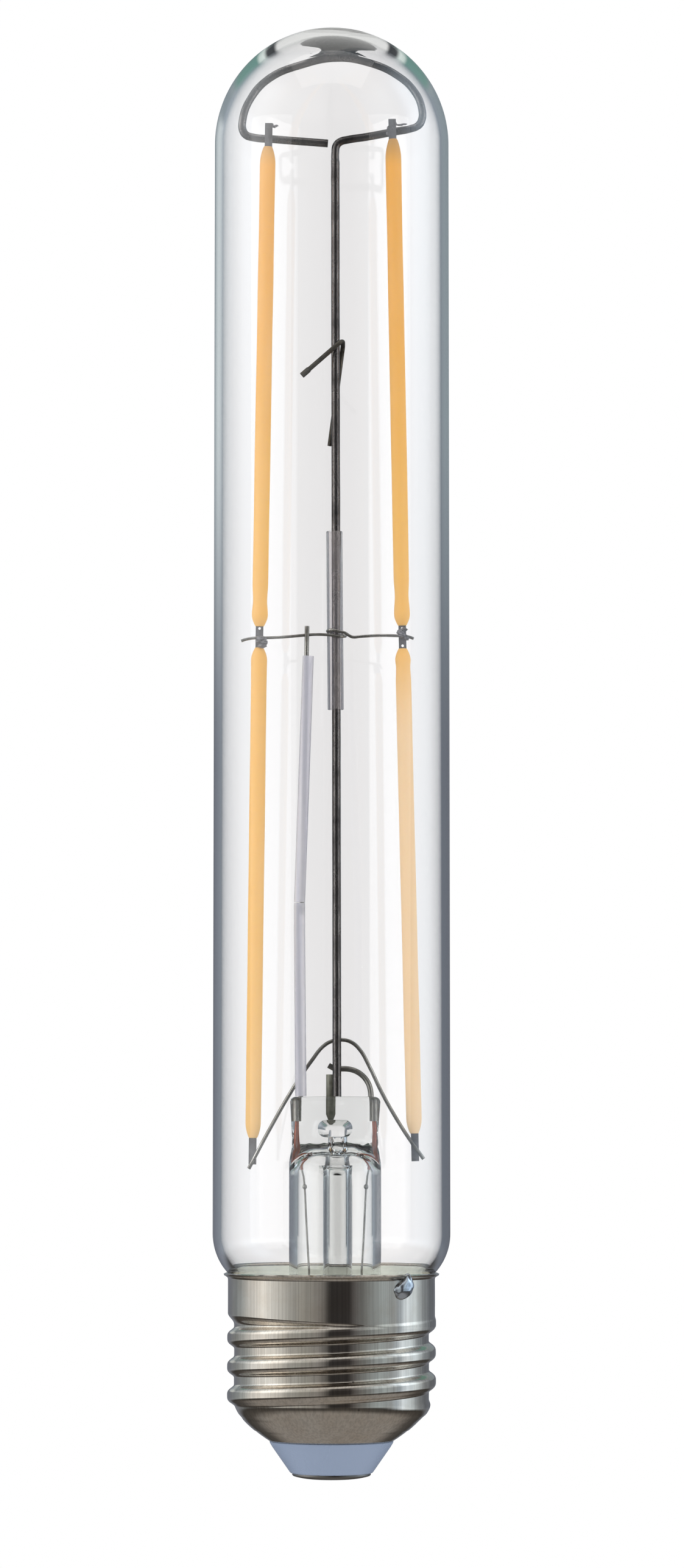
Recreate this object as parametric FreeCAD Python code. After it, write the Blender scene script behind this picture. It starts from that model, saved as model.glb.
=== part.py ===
import FreeCAD, Part
import math
import os

# Tubular filament lamp with a screw cap, in millimetres.
# Origin: middle of the flat land of the centre contact. +Z runs up the tube to the dome.
# The filaments, the hoop and the two leads lie near the XZ plane, and -Y is the side that is looked at.

# Glass bulb
tube_diameter = 30.0
glass_wall = 1.0
crown_thickness = 1.8
crown_clearance = 1.228
shoulder_angle = 45.0
shoulder_upper_share = 0.72
neck_straight_height = 2.87

# Screw cap, rolled from one sheet
thread_diameter = 26.3
thread_depth = 0.95
thread_pitch = 3.629
thread_beads = 3
thread_crest_width = 1.0
skirt_inset = 0.1
skirt_length = 4.8
skirt_shoulder_height = 1.0
rim_width = 0.55
cap_sheet = 0.3
bowl_height = 5.25
bowl_arc_rise = 0.75
bowl_cones = 4
cap_mouth_diameter = 15.7
cap_lip_diameter = 12.4
neck_depth = 5.0
cement_thickness = 0.75
cement_recess = 0.3
cement_foot_drop = 0.2

# Insulator and centre contact
contact_diameter = 9.9
contact_depth = 0.7
contact_sheet = 0.3
contact_land_diameter = 4.6
contact_shank_diameter = 2.2
contact_shank_height = 4.6
contact_bore_diameter = 0.6
insulator_foot_diameter = 10.4
insulator_cone_height = 4.05
insulator_collar_width = 1.2
insulator_collar_height = 1.5

# Stem: flare tube pinched flat at the top
stem_offset = 0.45
flare_diameter = 11.6
flare_wall = 1.0
flange_width = 0.85
stem_height = 27.25
press_width = 11.5
press_waist_width = 10.9
press_thickness = 3.7
press_height = 5.7
press_shoulder_height = 2.9
press_edge_round = 0.5
cavity_roof_drop = 7.55
port_width = 4.6
port_height = 2.4
port_roof_drop = 2.6
port_corner_round = 1.9
port_depth = 1.95
exhaust_diameter = 3.65
exhaust_wall = 0.65
exhaust_offset = 0.33
exhaust_tip_gap = 3.0

# Support rod with its hoop, all one wire
rod_wire = 1.17
rod_foot_x = 0.68
rod_head_x = 0.45
rod_head_drop = 0.25
rod_head_bend = 1.3
hoop_clearance = 1.75
hoop_height = 10.75
hoop_bar_rise = 2.4
hoop_bar_inset = 0.2
hoop_free_drop = 0.5
hoop_free_rise = 0.85
hoop_free_reach = 0.55
hoop_corner_bend = 1.9
hoop_dome_gap = 0.35
hoop_crown_gap = 0.9
hoop_shoulder_bend = 4.0
hoop_crown_bend = 13.0
hoop_crown_lean = 0.2
hoop_right_angle = 32.5
hoop_crown_right_angle = 63.0
hoop_crown_left_angle = 105.5
hoop_left_angle = 140.0
hoop_gap = 1.1

# Anchor wire beside the rod, sunk in the press with a drawn tip
anchor_diameter = 0.8
anchor_rise = 2.85
anchor_depth = 3.2
anchor_tip_length = 1.0
anchor_tip_diameter = 0.3
anchor_side_angle = 40.0

# Leads: thick slug in the press, seal wire below it, thin outer lead down to the driver
left_lead_diameter = 0.57
right_lead_diameter = 0.7
slug_diameter = 0.95
slug_depth = 3.07
slug_length = 2.6
left_slug_x = -4.15
right_slug_x = 5.13
left_lead_exit_x = -3.88
left_lead_exit_y = -0.15
left_lap_x = -4.065
lap_spacing = 0.59
lap_height = 23.8
lap_length = 1.5
left_lead_top_x = -3.12
left_lead_over_cross = 1.27
lead_low_bend = 4.0
right_loop_radius = 3.25
right_loop_x = 4.72
right_loop_rise = 3.56
right_hook_length = 0.78
right_hook_bend = 0.4
right_hook_rise = 0.45
seal_wire_diameter = 0.43
seal_bend = 1.2
seal_wire_exposed = 1.2
seal_step_in = 0.4
outer_lead_diameter = 0.27
outer_bead_diameter = 0.6
outer_bead_drop = 11.3
outer_lead_step_in = 0.7
outer_lead_bend = 2.0

# Sleeves: thin fibre over the left lead, thick one on the rod
lead_sleeve_bore = 1.22
lead_sleeve_wall = 0.1
lead_sleeve_top_x = -2.97
lead_sleeve_below_cross = 2.55
sleeve_end_gap = 0.1
rod_sleeve_bore = 1.26
rod_sleeve_diameter = 1.78
rod_sleeve_length = 22.8
rod_sleeve_below_cross = 9.28

# Wires that join the filaments in the middle and at the bottom
cross_wire_diameter = 0.4
cross_wire_dip = 0.6
cross_wire_left_end = 2.2
cross_wire_right_end = 1.5
cross_end_bend = 0.8
cross_hump_bend = 1.0
cross_side_bend = 0.4
cross_wrap_bend = 1.1
cross_wrap_rise = 0.65
cross_hump_rise = 0.1
arch_wire_diameter = 0.52
arch_left_shoulder = 6.56
arch_right_shoulder = 7.26
arch_left_reach = 1.95
arch_right_reach = 1.95
arch_left_bend = 1.6
arch_right_bend = 1.4
arch_left_end_out = 0.44
arch_left_end_drop = 0.74
arch_right_end_out = 0.99
arch_right_end_rise = 0.5

# Getter wire, folded once round the rod
getter_diameter = 0.6
getter_above_middle = 38.1
getter_left_reach = 4.3
getter_left_drop = 4.6
getter_tail_drop = 13.4
getter_tail_shift = 0.75
getter_fold_bend = 0.6
getter_head_diameter = 0.75
getter_head_length = 1.2

# Filaments: a metal strip with a cast coat, and bare tabs at both ends.
# The insets are from the tube's inner wall to the middle of the strip.
strip_width = 0.97
strip_thickness = 0.35
strip_hole_diameter = 0.35
strip_hole_inset = 1.05
strip_end_gap = 0.05
coat_diameter = 2.04
coat_end_diameter = 1.06
coat_taper_outer = 2.2
coat_taper_middle = 1.6
coat_taper_share = 0.4
coat_bulge_diameter = 2.1
coat_neck_diameter = 1.75
coat_neck_inset = 2.4
coat_neck_length = 3.4
lower_span = 66.9
upper_span = 64.2
low_seat_drop = 8.4
top_left_inset = 5.94
top_right_inset = 6.24
middle_left_inset = 4.77
middle_right_inset = 4.98
low_left_inset = 3.92
low_right_inset = 3.32
top_tab_left = 2.06
top_tab_right = 2.62
low_tab_left = 0.12
low_tab_right = 0.29
bare_top_left = 3.05
bare_top_right = 2.63
bare_middle_left = 1.3
bare_middle_right = 1.4
bare_low_left = 3.31
bare_low_right = 3.47

# Driver inside the cap
board_thickness = 1.0
board_clearance = 0.3
board_drop = 5.1
bridge_length = 4.7
bridge_width = 3.9
bridge_height = 1.6
chip_length = 4.9
chip_width = 3.8
chip_height = 1.3
chip_offset = 4.5
leg_width = 0.4
leg_reach = 1.0
leg_thickness = 0.2
bridge_leg_pitch = 2.54
chip_leg_pitch = 1.27
capacitor_diameter = 5.0
capacitor_length = 6.6
capacitor_offset = 5.0
capacitor_azimuth = 37.0
capacitor_groove = 0.4
capacitor_groove_inset = 1.4
resistor_diameter = 2.2
resistor_length = 5.0
resistor_lead_diameter = 0.5
resistor_lead_reach = 1.3
resistor_x = -4.0
resistor_y = -3.0
component_gap = 0.1

# Wires from the driver to the cap, and the solder on the skirt
shell_wire_diameter = 0.2
shell_wire_azimuth = -45.0
shell_wire_edge = 0.8
shell_wire_bend = 0.35
shell_wire_skirt_gap = 0.03
shell_wire_turn_rise = 0.04
shell_wire_over_gap = 0.06
contact_wire_diameter = 0.5
contact_wire_end = 0.6
solder_width = 2.4
solder_top_width = 1.3
solder_length = 2.75

# Gap left between metal pieces that meet at a weld, and where a leaning tab crosses a wire
weld_gap = 0.02
tab_gap = 0.08

# Heights, from the contact upwards
cap_bottom_z = contact_depth + insulator_cone_height
root_bottom_z = cap_bottom_z + bowl_height
thread_length = thread_beads * thread_pitch - thread_crest_width
root_top_z = root_bottom_z + thread_length
skirt_bottom_z = root_top_z + skirt_shoulder_height
rim_z = skirt_bottom_z + skirt_length
neck_end_z = rim_z - neck_depth
press_top_z = neck_end_z + stem_height
low_seat_z = press_top_z - low_seat_drop
middle_z = low_seat_z + lower_span
bar_seat_z = middle_z + upper_span
hoop_top_z = bar_seat_z + hoop_height
inner_crown_z = hoop_top_z + rod_wire / 2 + crown_clearance
overall_length = inner_crown_z + crown_thickness
slug_foot_z = press_top_z - slug_depth
cavity_roof_z = press_top_z - cavity_roof_drop
board_top_z = neck_end_z - board_drop
board_bottom_z = board_top_z - board_thickness

# Radii
tube_radius = tube_diameter / 2
tube_bore = tube_radius - glass_wall
crest_radius = thread_diameter / 2
skirt_radius = crest_radius - skirt_inset
skirt_bore = skirt_radius - cap_sheet
root_radius = crest_radius - thread_depth
root_bore = root_radius - cap_sheet
rim_radius = skirt_radius + rim_width
mouth_radius = cap_mouth_diameter / 2
lip_radius = cap_lip_diameter / 2
neck_radius = skirt_bore - cement_thickness
neck_bore = neck_radius - glass_wall
flare_radius = flare_diameter / 2
flare_bore = flare_radius - flare_wall
rod_radius = rod_wire / 2
left_lead_radius = left_lead_diameter / 2
cross_radius = cross_wire_diameter / 2
arch_radius = arch_wire_diameter / 2
getter_radius = getter_diameter / 2

os.makedirs("parts", exist_ok=True)


def vector(x, y, z):
    return FreeCAD.Vector(x, y, z)


def line(a, b):
    return Part.LineSegment(vector(*a), vector(*b)).toShape()


def arc(a, middle, b):
    return Part.Arc(vector(*a), vector(*middle), vector(*b)).toShape()


# A half section in the XZ plane, given as edges, turned about a vertical axis at axis_x.
def turned(edges, axis_x=0.0):
    face = Part.Face(Part.Wire(edges))
    face.translate(vector(axis_x, 0, 0))
    return face.revolve(vector(axis_x, 0, 0), vector(0, 0, 1), 360)


# The same from a closed outline of straight lines through (radius, height) points.
def turned_outline(outline, axis_x=0.0):
    points = [(r, 0, z) for r, z in outline]
    closed = points + points[:1]
    return turned([line(a, b) for a, b in zip(closed, closed[1:])], axis_x)


# Point on a circle in the XZ plane, at an angle from the outward direction.
def arc_point(centre_r, centre_z, radius, degrees):
    angle = math.radians(degrees)
    return (centre_r + radius * math.cos(angle), 0, centre_z + radius * math.sin(angle))


# Straight runs through the points, joined by arcs that touch both runs. One radius for each inner point.
def bent_path(points, bends):
    corners = [vector(*p) for p in points]
    edges = []
    start = corners[0]
    for before, corner, after, bend in zip(corners, corners[1:], corners[2:], bends):
        way_in = (corner - before).normalize()
        way_out = (after - corner).normalize()
        half_turn = way_in.getAngle(way_out) / 2
        reach = bend * math.tan(half_turn)
        first = corner - way_in * reach
        last = corner + way_out * reach
        inward = (way_out - way_in).normalize()
        middle = corner + inward * (bend / math.cos(half_turn) - bend)
        edges.append(Part.LineSegment(start, first).toShape())
        edges.append(Part.Arc(first, middle, last).toShape())
        start = last
    edges.append(Part.LineSegment(start, corners[-1]).toShape())
    return Part.Wire(edges)


# A circle of a given diameter swept along a path.
def swept_round(path, diameter):
    first = path.Edges[0]
    way = first.tangentAt(first.FirstParameter)
    ring = Part.Circle(first.valueAt(first.FirstParameter), way, diameter / 2)
    return path.makePipeShell([Part.Wire([ring.toShape()])], True, False)


# A round wire along the runs and arcs of bent_path.
def bent_wire(points, bends, diameter):
    return swept_round(bent_path(points, bends), diameter)


# A straight round bar between two points.
def round_bar(a, b, diameter):
    way = vector(*b) - vector(*a)
    return Part.makeCylinder(diameter / 2, way.Length, vector(*a), way)


# Point at a height on the straight line from a to b.
def at_height(a, b, z):
    share = (z - a[2]) / (b[2] - a[2])
    return tuple(p + share * (q - p) for p, q in zip(a, b))


# A shape built upwards from the origin, set on the line from foot to head.
def placed_along(shape, foot, head):
    way = vector(*head) - vector(*foot)
    placed = shape.copy()
    placed.Placement = FreeCAD.Placement(vector(*foot), FreeCAD.Rotation(vector(0, 0, 1), way))
    return placed


def write(name, shape):
    shape.exportStep("parts/" + name + ".step")


# Axis of the support rod, which leans a little to the left on its way up
rod_foot = (rod_foot_x, 0, press_top_z + weld_gap)
rod_corner_z = bar_seat_z - rod_head_drop
rod_corner = (rod_head_x, 0, rod_corner_z)


def rod_point(z):
    return at_height(rod_foot, rod_corner, z)


# Glass bulb: tube, dome with a thick crown, and a shoulder down to the neck in the cap
def glass_envelope():
    angle = math.radians(shoulder_angle)
    drop = tube_radius - neck_radius
    bends = drop / (1 - math.cos(angle))
    upper = bends * shoulder_upper_share
    lower = bends - upper
    neck_top_z = neck_end_z + neck_straight_height
    straight_z = neck_top_z + bends * math.sin(angle)
    dome_z = overall_length - tube_radius
    inner_dome_z = inner_crown_z - tube_bore
    inner_upper = upper - glass_wall
    inner_lower = lower + glass_wall
    upper_r = tube_radius - upper
    lower_r = neck_radius + lower
    half = shoulder_angle / 2
    outer_meet = arc_point(upper_r, straight_z, upper, -shoulder_angle)
    inner_meet = arc_point(upper_r, straight_z, inner_upper, -shoulder_angle)
    neck_outside = (neck_radius, 0, neck_top_z)
    neck_inside = (neck_bore, 0, neck_top_z)
    outside = [
        arc((0, 0, overall_length), arc_point(0, dome_z, tube_radius, 45), (tube_radius, 0, dome_z)),
        line((tube_radius, 0, dome_z), (tube_radius, 0, straight_z)),
        arc((tube_radius, 0, straight_z), arc_point(upper_r, straight_z, upper, -half), outer_meet),
        arc(outer_meet, arc_point(lower_r, neck_top_z, lower, 180 - half), neck_outside),
        line(neck_outside, (neck_radius, 0, neck_end_z)),
    ]
    inside = [
        line((neck_radius, 0, neck_end_z), (neck_bore, 0, neck_end_z)),
        line((neck_bore, 0, neck_end_z), neck_inside),
        arc(neck_inside, arc_point(lower_r, neck_top_z, inner_lower, 180 - half), inner_meet),
        arc(inner_meet, arc_point(upper_r, straight_z, inner_upper, -half), (tube_bore, 0, straight_z)),
        line((tube_bore, 0, straight_z), (tube_bore, 0, inner_dome_z)),
        arc((tube_bore, 0, inner_dome_z), arc_point(0, inner_dome_z, tube_bore, 45), (0, 0, inner_crown_z)),
        line((0, 0, inner_crown_z), (0, 0, overall_length)),
    ]
    return turned(outside + inside)


# Screw cap: turned-out rim, skirt, beads at the thread's pitch, bowl and turned-in lip.
# The beads stand on the outside only, and the bore behind them is smooth.
def screw_cap():
    flank = (thread_pitch - 2 * thread_crest_width) / 2
    outline = [(rim_radius, rim_z), (rim_radius, rim_z - cap_sheet)]
    outline.append((skirt_radius, rim_z - cap_sheet - rim_width))
    outline.append((skirt_radius, skirt_bottom_z))
    outline.append((root_radius, root_top_z))
    for bead in range(thread_beads):
        crest_z = root_top_z - bead * thread_pitch - flank
        foot_z = crest_z - thread_crest_width - flank
        outline += [(crest_radius, crest_z), (crest_radius, crest_z - thread_crest_width)]
        outline.append((root_radius, foot_z))
        if bead < thread_beads - 1:
            outline.append((root_radius, foot_z - thread_crest_width))
    outline += bowl_line(0)[1:]
    outline += [(lip_radius, cap_bottom_z), (lip_radius, cap_bottom_z + cap_sheet)]
    outline += bowl_line(cap_sheet)[::-1]
    outline += [(root_bore, root_top_z), (skirt_bore, skirt_bottom_z)]
    outline += [(skirt_bore, rim_z - rim_width), (skirt_bore + rim_width, rim_z)]
    return turned_outline(outline)


# The bowl's side from the thread down to the lip: a shallow arc, as a few straight cones
def bowl_line(inset):
    top = (root_radius - inset, root_bottom_z)
    end = (mouth_radius - inset, cap_bottom_z + inset)
    span = math.hypot(top[0] - end[0], top[1] - end[1])
    across = ((top[1] - end[1]) / span, -(top[0] - end[0]) / span)
    line_points = []
    for step in range(bowl_cones + 1):
        share = step / bowl_cones
        swell = bowl_arc_rise * 4 * share * (1 - share)
        r = top[0] + share * (end[0] - top[0]) + swell * across[0]
        z = top[1] + share * (end[1] - top[1]) + swell * across[1]
        line_points.append((r, z))
    return line_points


# Contact plate: stamped with a flat land and a hollow shank that is pressed up into the insulator
def centre_contact():
    plate = contact_diameter / 2
    land = contact_land_diameter / 2
    shank = contact_shank_diameter / 2
    bore = contact_bore_diameter / 2
    top = contact_depth + contact_shank_height
    edge_z = contact_depth - contact_sheet
    outline = [(0, 0), (land, 0), (plate, edge_z)]
    outline += [(plate, contact_depth), (plate - contact_sheet, contact_depth)]
    outline += [(land, contact_sheet), (shank, contact_sheet), (shank, top)]
    outline += [(bore, top), (bore, contact_sheet), (0, contact_sheet)]
    return turned_outline(outline)


# Insulator: cone under the cap, waist through the lip, collar that locks it from inside
def cap_insulator():
    foot = insulator_foot_diameter / 2
    bore = contact_shank_diameter / 2
    collar = lip_radius + insulator_collar_width
    collar_z = cap_bottom_z + cap_sheet
    top = collar_z + insulator_collar_height
    outline = [(bore, contact_depth), (foot, contact_depth)]
    outline += [(mouth_radius, cap_bottom_z), (lip_radius, cap_bottom_z)]
    outline += [(lip_radius, collar_z), (collar, collar_z), (collar, top), (bore, top)]
    return turned_outline(outline)


# The press section: a flat slab with round sides
def press_section(width, z):
    half = width / 2 - press_thickness / 2
    depth = press_thickness / 2
    centre = stem_offset
    edges = [
        line((centre - half, -depth, z), (centre + half, -depth, z)),
        arc((centre + half, -depth, z), (centre + half + depth, 0, z), (centre + half, depth, z)),
        line((centre + half, depth, z), (centre - half, depth, z)),
        arc((centre - half, depth, z), (centre - half - depth, 0, z), (centre - half, -depth, z)),
    ]
    return Part.Wire(edges)


# The round section, split where the press section is split
def tube_section(z):
    split = flare_radius * math.sqrt(0.5)
    centre = stem_offset
    corners = [(-1, -1), (1, -1), (1, 1), (-1, 1)]
    middles = [(0, -1), (1, 0), (0, 1), (-1, 0)]
    edges = []
    for index, middle in enumerate(middles):
        a = corners[index]
        b = corners[(index + 1) % 4]
        start = (centre + a[0] * split, a[1] * split, z)
        end = (centre + b[0] * split, b[1] * split, z)
        top = (centre + middle[0] * flare_radius, middle[1] * flare_radius, z)
        edges.append(arc(start, top, end))
    return Part.Wire(edges)


# Flare tube: trumpet sealed into the neck, straight tube, shoulder and flat press
def stem_flare(held):
    waist_z = press_top_z - press_height
    shoulder_z = waist_z - press_shoulder_height
    flange_z = neck_end_z + flare_wall
    # the trumpet is two cones, which meet a third of the way out
    trumpet_r = neck_bore - stem_offset - flange_width
    reach = trumpet_r - flare_radius
    curve_r = flare_radius + reach / 3
    curve_z = flange_z + reach / 3
    tube = turned_outline([
        (flare_bore, shoulder_z), (flare_radius, shoulder_z), (flare_radius, flange_z + reach),
        (curve_r, curve_z), (trumpet_r, flange_z), (trumpet_r, neck_end_z),
        (curve_r - flare_wall, curve_z - flare_wall / 2), (flare_bore, flange_z + reach),
    ], stem_offset)
    flange = Part.makeCylinder(neck_bore, flare_wall, vector(0, 0, neck_end_z))
    opening = Part.makeCylinder(trumpet_r - flare_wall / 2, flare_wall, vector(stem_offset, 0, neck_end_z))
    edge_z = press_top_z - press_edge_round
    edge_width = press_width - 2 * press_edge_round
    waist = press_section(press_waist_width, waist_z)
    edge = press_section(press_width, edge_z)
    shoulder = Part.makeLoft([tube_section(shoulder_z), waist], True, True)
    press = Part.makeLoft([waist, edge], True, True)
    ridge = Part.makeLoft([edge, press_section(edge_width, press_top_z)], True, True)
    glass = tube.fuse([flange.cut(opening), shoulder, press, ridge]).removeSplitter()
    return glass.cut([flare_cavity(shoulder_z), exhaust_port()] + held)


# The hollow of the flare tube above its straight part, with a bevelled roof under the press
def flare_cavity(foot_z):
    flat = flare_bore - (cavity_roof_z - foot_z)
    roof = [(0, foot_z), (flare_bore, foot_z), (flat, cavity_roof_z), (0, cavity_roof_z)]
    return turned_outline(roof, stem_offset)


# Air passage blown from the exhaust tube through the front of the press
def exhaust_port():
    roof_z = press_top_z - port_roof_drop
    floor_z = roof_z - port_height
    inside = Part.makeBox(port_width, port_depth + press_thickness / 2, port_height,
                          vector(stem_offset - port_width / 2, -press_thickness, floor_z))
    corners = []
    for edge in inside.Edges:
        if edge.BoundBox.ZMin > floor_z + port_height / 2 and edge.BoundBox.YLength > port_depth:
            corners.append(edge)
    inside = inside.makeFillet(port_corner_round, corners)
    bore = exhaust_diameter / 2 - exhaust_wall
    riser_height = floor_z + port_height / 2 - cavity_roof_z
    riser = Part.makeCylinder(bore, riser_height, vector(stem_offset + exhaust_offset, 0, cavity_roof_z))
    return inside.fuse(riser)


# Exhaust tube, open into the press and closed at its pulled-off tip
def exhaust_tube():
    outer = exhaust_diameter / 2
    bore = outer - exhaust_wall
    tip_z = board_top_z + exhaust_tip_gap
    round_z = tip_z + outer
    return turned([
        line((bore, 0, cavity_roof_z), (outer, 0, cavity_roof_z)),
        line((outer, 0, cavity_roof_z), (outer, 0, round_z)),
        arc((outer, 0, round_z), arc_point(0, round_z, outer, -45), (0, 0, tip_z)),
        line((0, 0, tip_z), (0, 0, tip_z + exhaust_wall)),
        arc((0, 0, tip_z + exhaust_wall), arc_point(0, round_z, bore, -45), (bore, 0, round_z)),
        line((bore, 0, round_z), (bore, 0, cavity_roof_z)),
    ], stem_offset + exhaust_offset)


# Support rod: up from the press, across to the right, round under the dome, back to a free end
hoop_reach = tube_bore - hoop_clearance - rod_radius
right_bar_z = rod_corner_z + hoop_bar_rise
left_bar_z = bar_seat_z - hoop_free_drop


# A corner of the hoop, at an angle round the middle of the dome and a distance from its glass
def under_dome(degrees, gap):
    return arc_point(0, inner_crown_z - tube_bore, tube_bore - gap, degrees)


def support_rod():
    points = [
        rod_foot,
        rod_corner,
        (hoop_reach - hoop_bar_inset, 0, right_bar_z),
        under_dome(hoop_right_angle, hoop_dome_gap),
        under_dome(hoop_crown_right_angle, hoop_crown_gap - hoop_crown_lean),
        under_dome(hoop_crown_left_angle, hoop_crown_gap + hoop_crown_lean),
        under_dome(hoop_left_angle, hoop_crown_gap),
        (-hoop_reach - hoop_free_reach, 0, left_bar_z + hoop_free_rise),
        (rod_head_x - hoop_gap, 0, left_bar_z),
    ]
    bends = [rod_head_bend, hoop_corner_bend, hoop_shoulder_bend, hoop_crown_bend, hoop_crown_bend]
    bends += [hoop_shoulder_bend, hoop_corner_bend]
    return bent_wire(points, bends, rod_wire)


# Anchor beside the rod: its drawn tip is sunk in the press, and its top is welded to the rod
def rod_anchor():
    angle = math.radians(anchor_side_angle)
    reach = rod_radius + anchor_diameter / 2 + weld_gap
    x = rod_foot_x - reach * math.cos(angle)
    y = reach * math.sin(angle)
    tip_z = press_top_z - anchor_depth
    shank_z = tip_z + anchor_tip_length
    height = anchor_depth - anchor_tip_length + anchor_rise
    shank = Part.makeCylinder(anchor_diameter / 2, height, vector(x, y, shank_z))
    tip_r = anchor_tip_diameter / 2
    tip = Part.makeCone(tip_r, anchor_diameter / 2, anchor_tip_length, vector(x, y, tip_z))
    return shank.fuse(tip)


# The left lead and its sleeve lean forwards so that they pass in front of the cross wire
filament_middle_y = tab_gap + cross_radius + (strip_thickness - cross_wire_dip) / 2
lead_front_y = -(cross_wire_dip + left_lead_radius + cross_radius + weld_gap)
left_lap_z = press_top_z + lap_height


def left_lead_y(z):
    share = (z - press_top_z) / (middle_z - press_top_z)
    return left_lead_exit_y + share * (lead_front_y - left_lead_exit_y)


def left_lead_point(x, z):
    return (x, left_lead_y(z), z)


# Thick slug that joins a lead to its seal wire inside the press
def slug(x):
    return Part.makeCylinder(slug_diameter / 2, slug_length, vector(x, 0, slug_foot_z))


def left_lead_lower():
    x = left_lap_x - lap_spacing / 2
    points = [
        (left_slug_x, 0, slug_foot_z + slug_length / 2),
        left_lead_point(left_lead_exit_x, press_top_z),
        left_lead_point(x, left_lap_z - 2 * lap_length),
        left_lead_point(x, left_lap_z + lap_length / 2),
    ]
    wire = bent_wire(points, [lead_low_bend, lead_low_bend], left_lead_diameter)
    return wire.fuse(slug(left_slug_x))


# The upper wire is lapped beside the lower one, and runs on past the cross wire
def left_lead_upper():
    x = left_lap_x + lap_spacing / 2
    foot = left_lead_point(x, left_lap_z - lap_length / 2)
    head = left_lead_point(left_lead_top_x, middle_z + left_lead_over_cross)
    return round_bar(foot, head, left_lead_diameter)


def sleeve(path, bore, wall):
    outside = swept_round(path, bore + 2 * wall)
    inside = swept_round(path, bore)
    return outside.cut(inside)


def lower_lead_sleeve():
    points = [
        left_lead_point(left_lead_exit_x, press_top_z + sleeve_end_gap),
        left_lead_point(left_lap_x, left_lap_z - 2 * lap_length),
        left_lead_point(left_lap_x, left_lap_z + lap_length / 2),
    ]
    return sleeve(bent_path(points, [lead_low_bend]), lead_sleeve_bore, lead_sleeve_wall)


def upper_lead_sleeve():
    foot = left_lead_point(left_lap_x, left_lap_z + lap_length / 2 + sleeve_end_gap)
    head = left_lead_point(lead_sleeve_top_x, middle_z - lead_sleeve_below_cross)
    return sleeve(Part.Wire([line(foot, head)]), lead_sleeve_bore, lead_sleeve_wall)


# The right lead loops over to the rod, and its end is welded to the rod's back
def right_inner_lead():
    back_y = rod_radius + right_lead_diameter / 2 + 2 * weld_gap
    loop_z = press_top_z + right_loop_rise
    weld_x = rod_foot_x - rod_radius / 2
    points = [
        (right_slug_x, 0, slug_foot_z + slug_length / 2),
        (right_loop_x, back_y, loop_z),
        (weld_x, back_y, loop_z),
        (weld_x - right_hook_length, back_y, loop_z + right_hook_rise),
    ]
    wire = bent_wire(points, [right_loop_radius, right_hook_bend], right_lead_diameter)
    return wire.fuse(slug(right_slug_x))


# Seal wire: from the slug down through the glass into the flare tube. side is -1 left, 1 right.
def seal_wire_points(x, side):
    end_x = x - side * seal_step_in
    foot_z = press_top_z - press_height - press_shoulder_height - seal_wire_exposed / 2
    return [(x, 0, slug_foot_z), (x, 0, press_top_z - press_height), (end_x, 0, foot_z)]


def seal_wire(x, side):
    return bent_wire(seal_wire_points(x, side), [seal_bend], seal_wire_diameter)


# Outer lead: from the seal wire down the flare tube to the driver, with a small weld bead on the way
def outer_lead(x, side):
    joint = seal_wire_points(x, side)[-1]
    top = (joint[0], 0, joint[2] - 2 * weld_gap)
    bead_z = press_top_z - outer_bead_drop
    turn = (top[0] - side * outer_lead_step_in / 2, 0, bead_z)
    foot = (top[0] - 2 * side * outer_lead_step_in, 0, board_top_z + weld_gap)
    wire = bent_wire([top, turn, foot], [outer_lead_bend], outer_lead_diameter)
    return wire.fuse(Part.makeSphere(outer_bead_diameter / 2, vector(*turn)))


# Thick sleeve that keeps the cross wire off the rod
def rod_sleeve():
    foot_z = middle_z - rod_sleeve_below_cross
    path = Part.Wire([line(rod_point(foot_z), rod_point(foot_z + rod_sleeve_length))])
    return sleeve(path, rod_sleeve_bore, (rod_sleeve_diameter - rod_sleeve_bore) / 2)


# Filament places: strip middles at the top, in the middle and at the bottom, left and right
top_tab_y = -(rod_radius + strip_thickness / 2 + tab_gap)
arch_y = rod_radius + arch_radius + weld_gap
low_tab_y = arch_y + arch_radius + strip_thickness / 2 + tab_gap
top_left = (-(tube_bore - top_left_inset), top_tab_y, bar_seat_z + top_tab_left)
top_right = (tube_bore - top_right_inset, top_tab_y, bar_seat_z + top_tab_right)
middle_left = (-(tube_bore - middle_left_inset), filament_middle_y, middle_z)
middle_right = (tube_bore - middle_right_inset, filament_middle_y, middle_z)
low_left = (-(tube_bore - low_left_inset), low_tab_y, low_seat_z - low_tab_left)
low_right = (tube_bore - low_right_inset, low_tab_y, low_seat_z + low_tab_right)


# Cross wire: joins the filaments in the middle and is wound once and a half round the rod's sleeve
def cross_wire():
    centre = rod_point(middle_z)[0]
    reach = rod_sleeve_diameter / 2 + cross_radius + weld_gap
    left = centre - reach
    right = centre + reach
    front = -cross_wire_dip / 2
    upper_z = middle_z + cross_wrap_rise
    points = [
        (middle_left[0] - cross_wire_left_end, front, middle_z - cross_wire_dip),
        (middle_left[0] - strip_width, front, middle_z),
        (left - reach, -cross_wire_dip, middle_z + cross_hump_rise),
        (left, -reach, middle_z),
        (right, -reach, middle_z),
        (right, reach, middle_z + cross_wrap_rise / 2),
        (left, reach, upper_z),
        (left, -reach, upper_z),
        (centre, -reach - cross_radius / 2, upper_z),
        (right, -reach - 3 * cross_radius, middle_z),
        (middle_right[0] - strip_width, front, middle_z),
        (middle_right[0] + cross_wire_right_end, front, middle_z),
    ]
    bends = [cross_end_bend, cross_hump_bend, cross_side_bend]
    bends += [cross_wrap_bend] * 4
    bends += [cross_side_bend, cross_side_bend, cross_end_bend]
    return bent_wire(points, bends, cross_wire_diameter)


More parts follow.
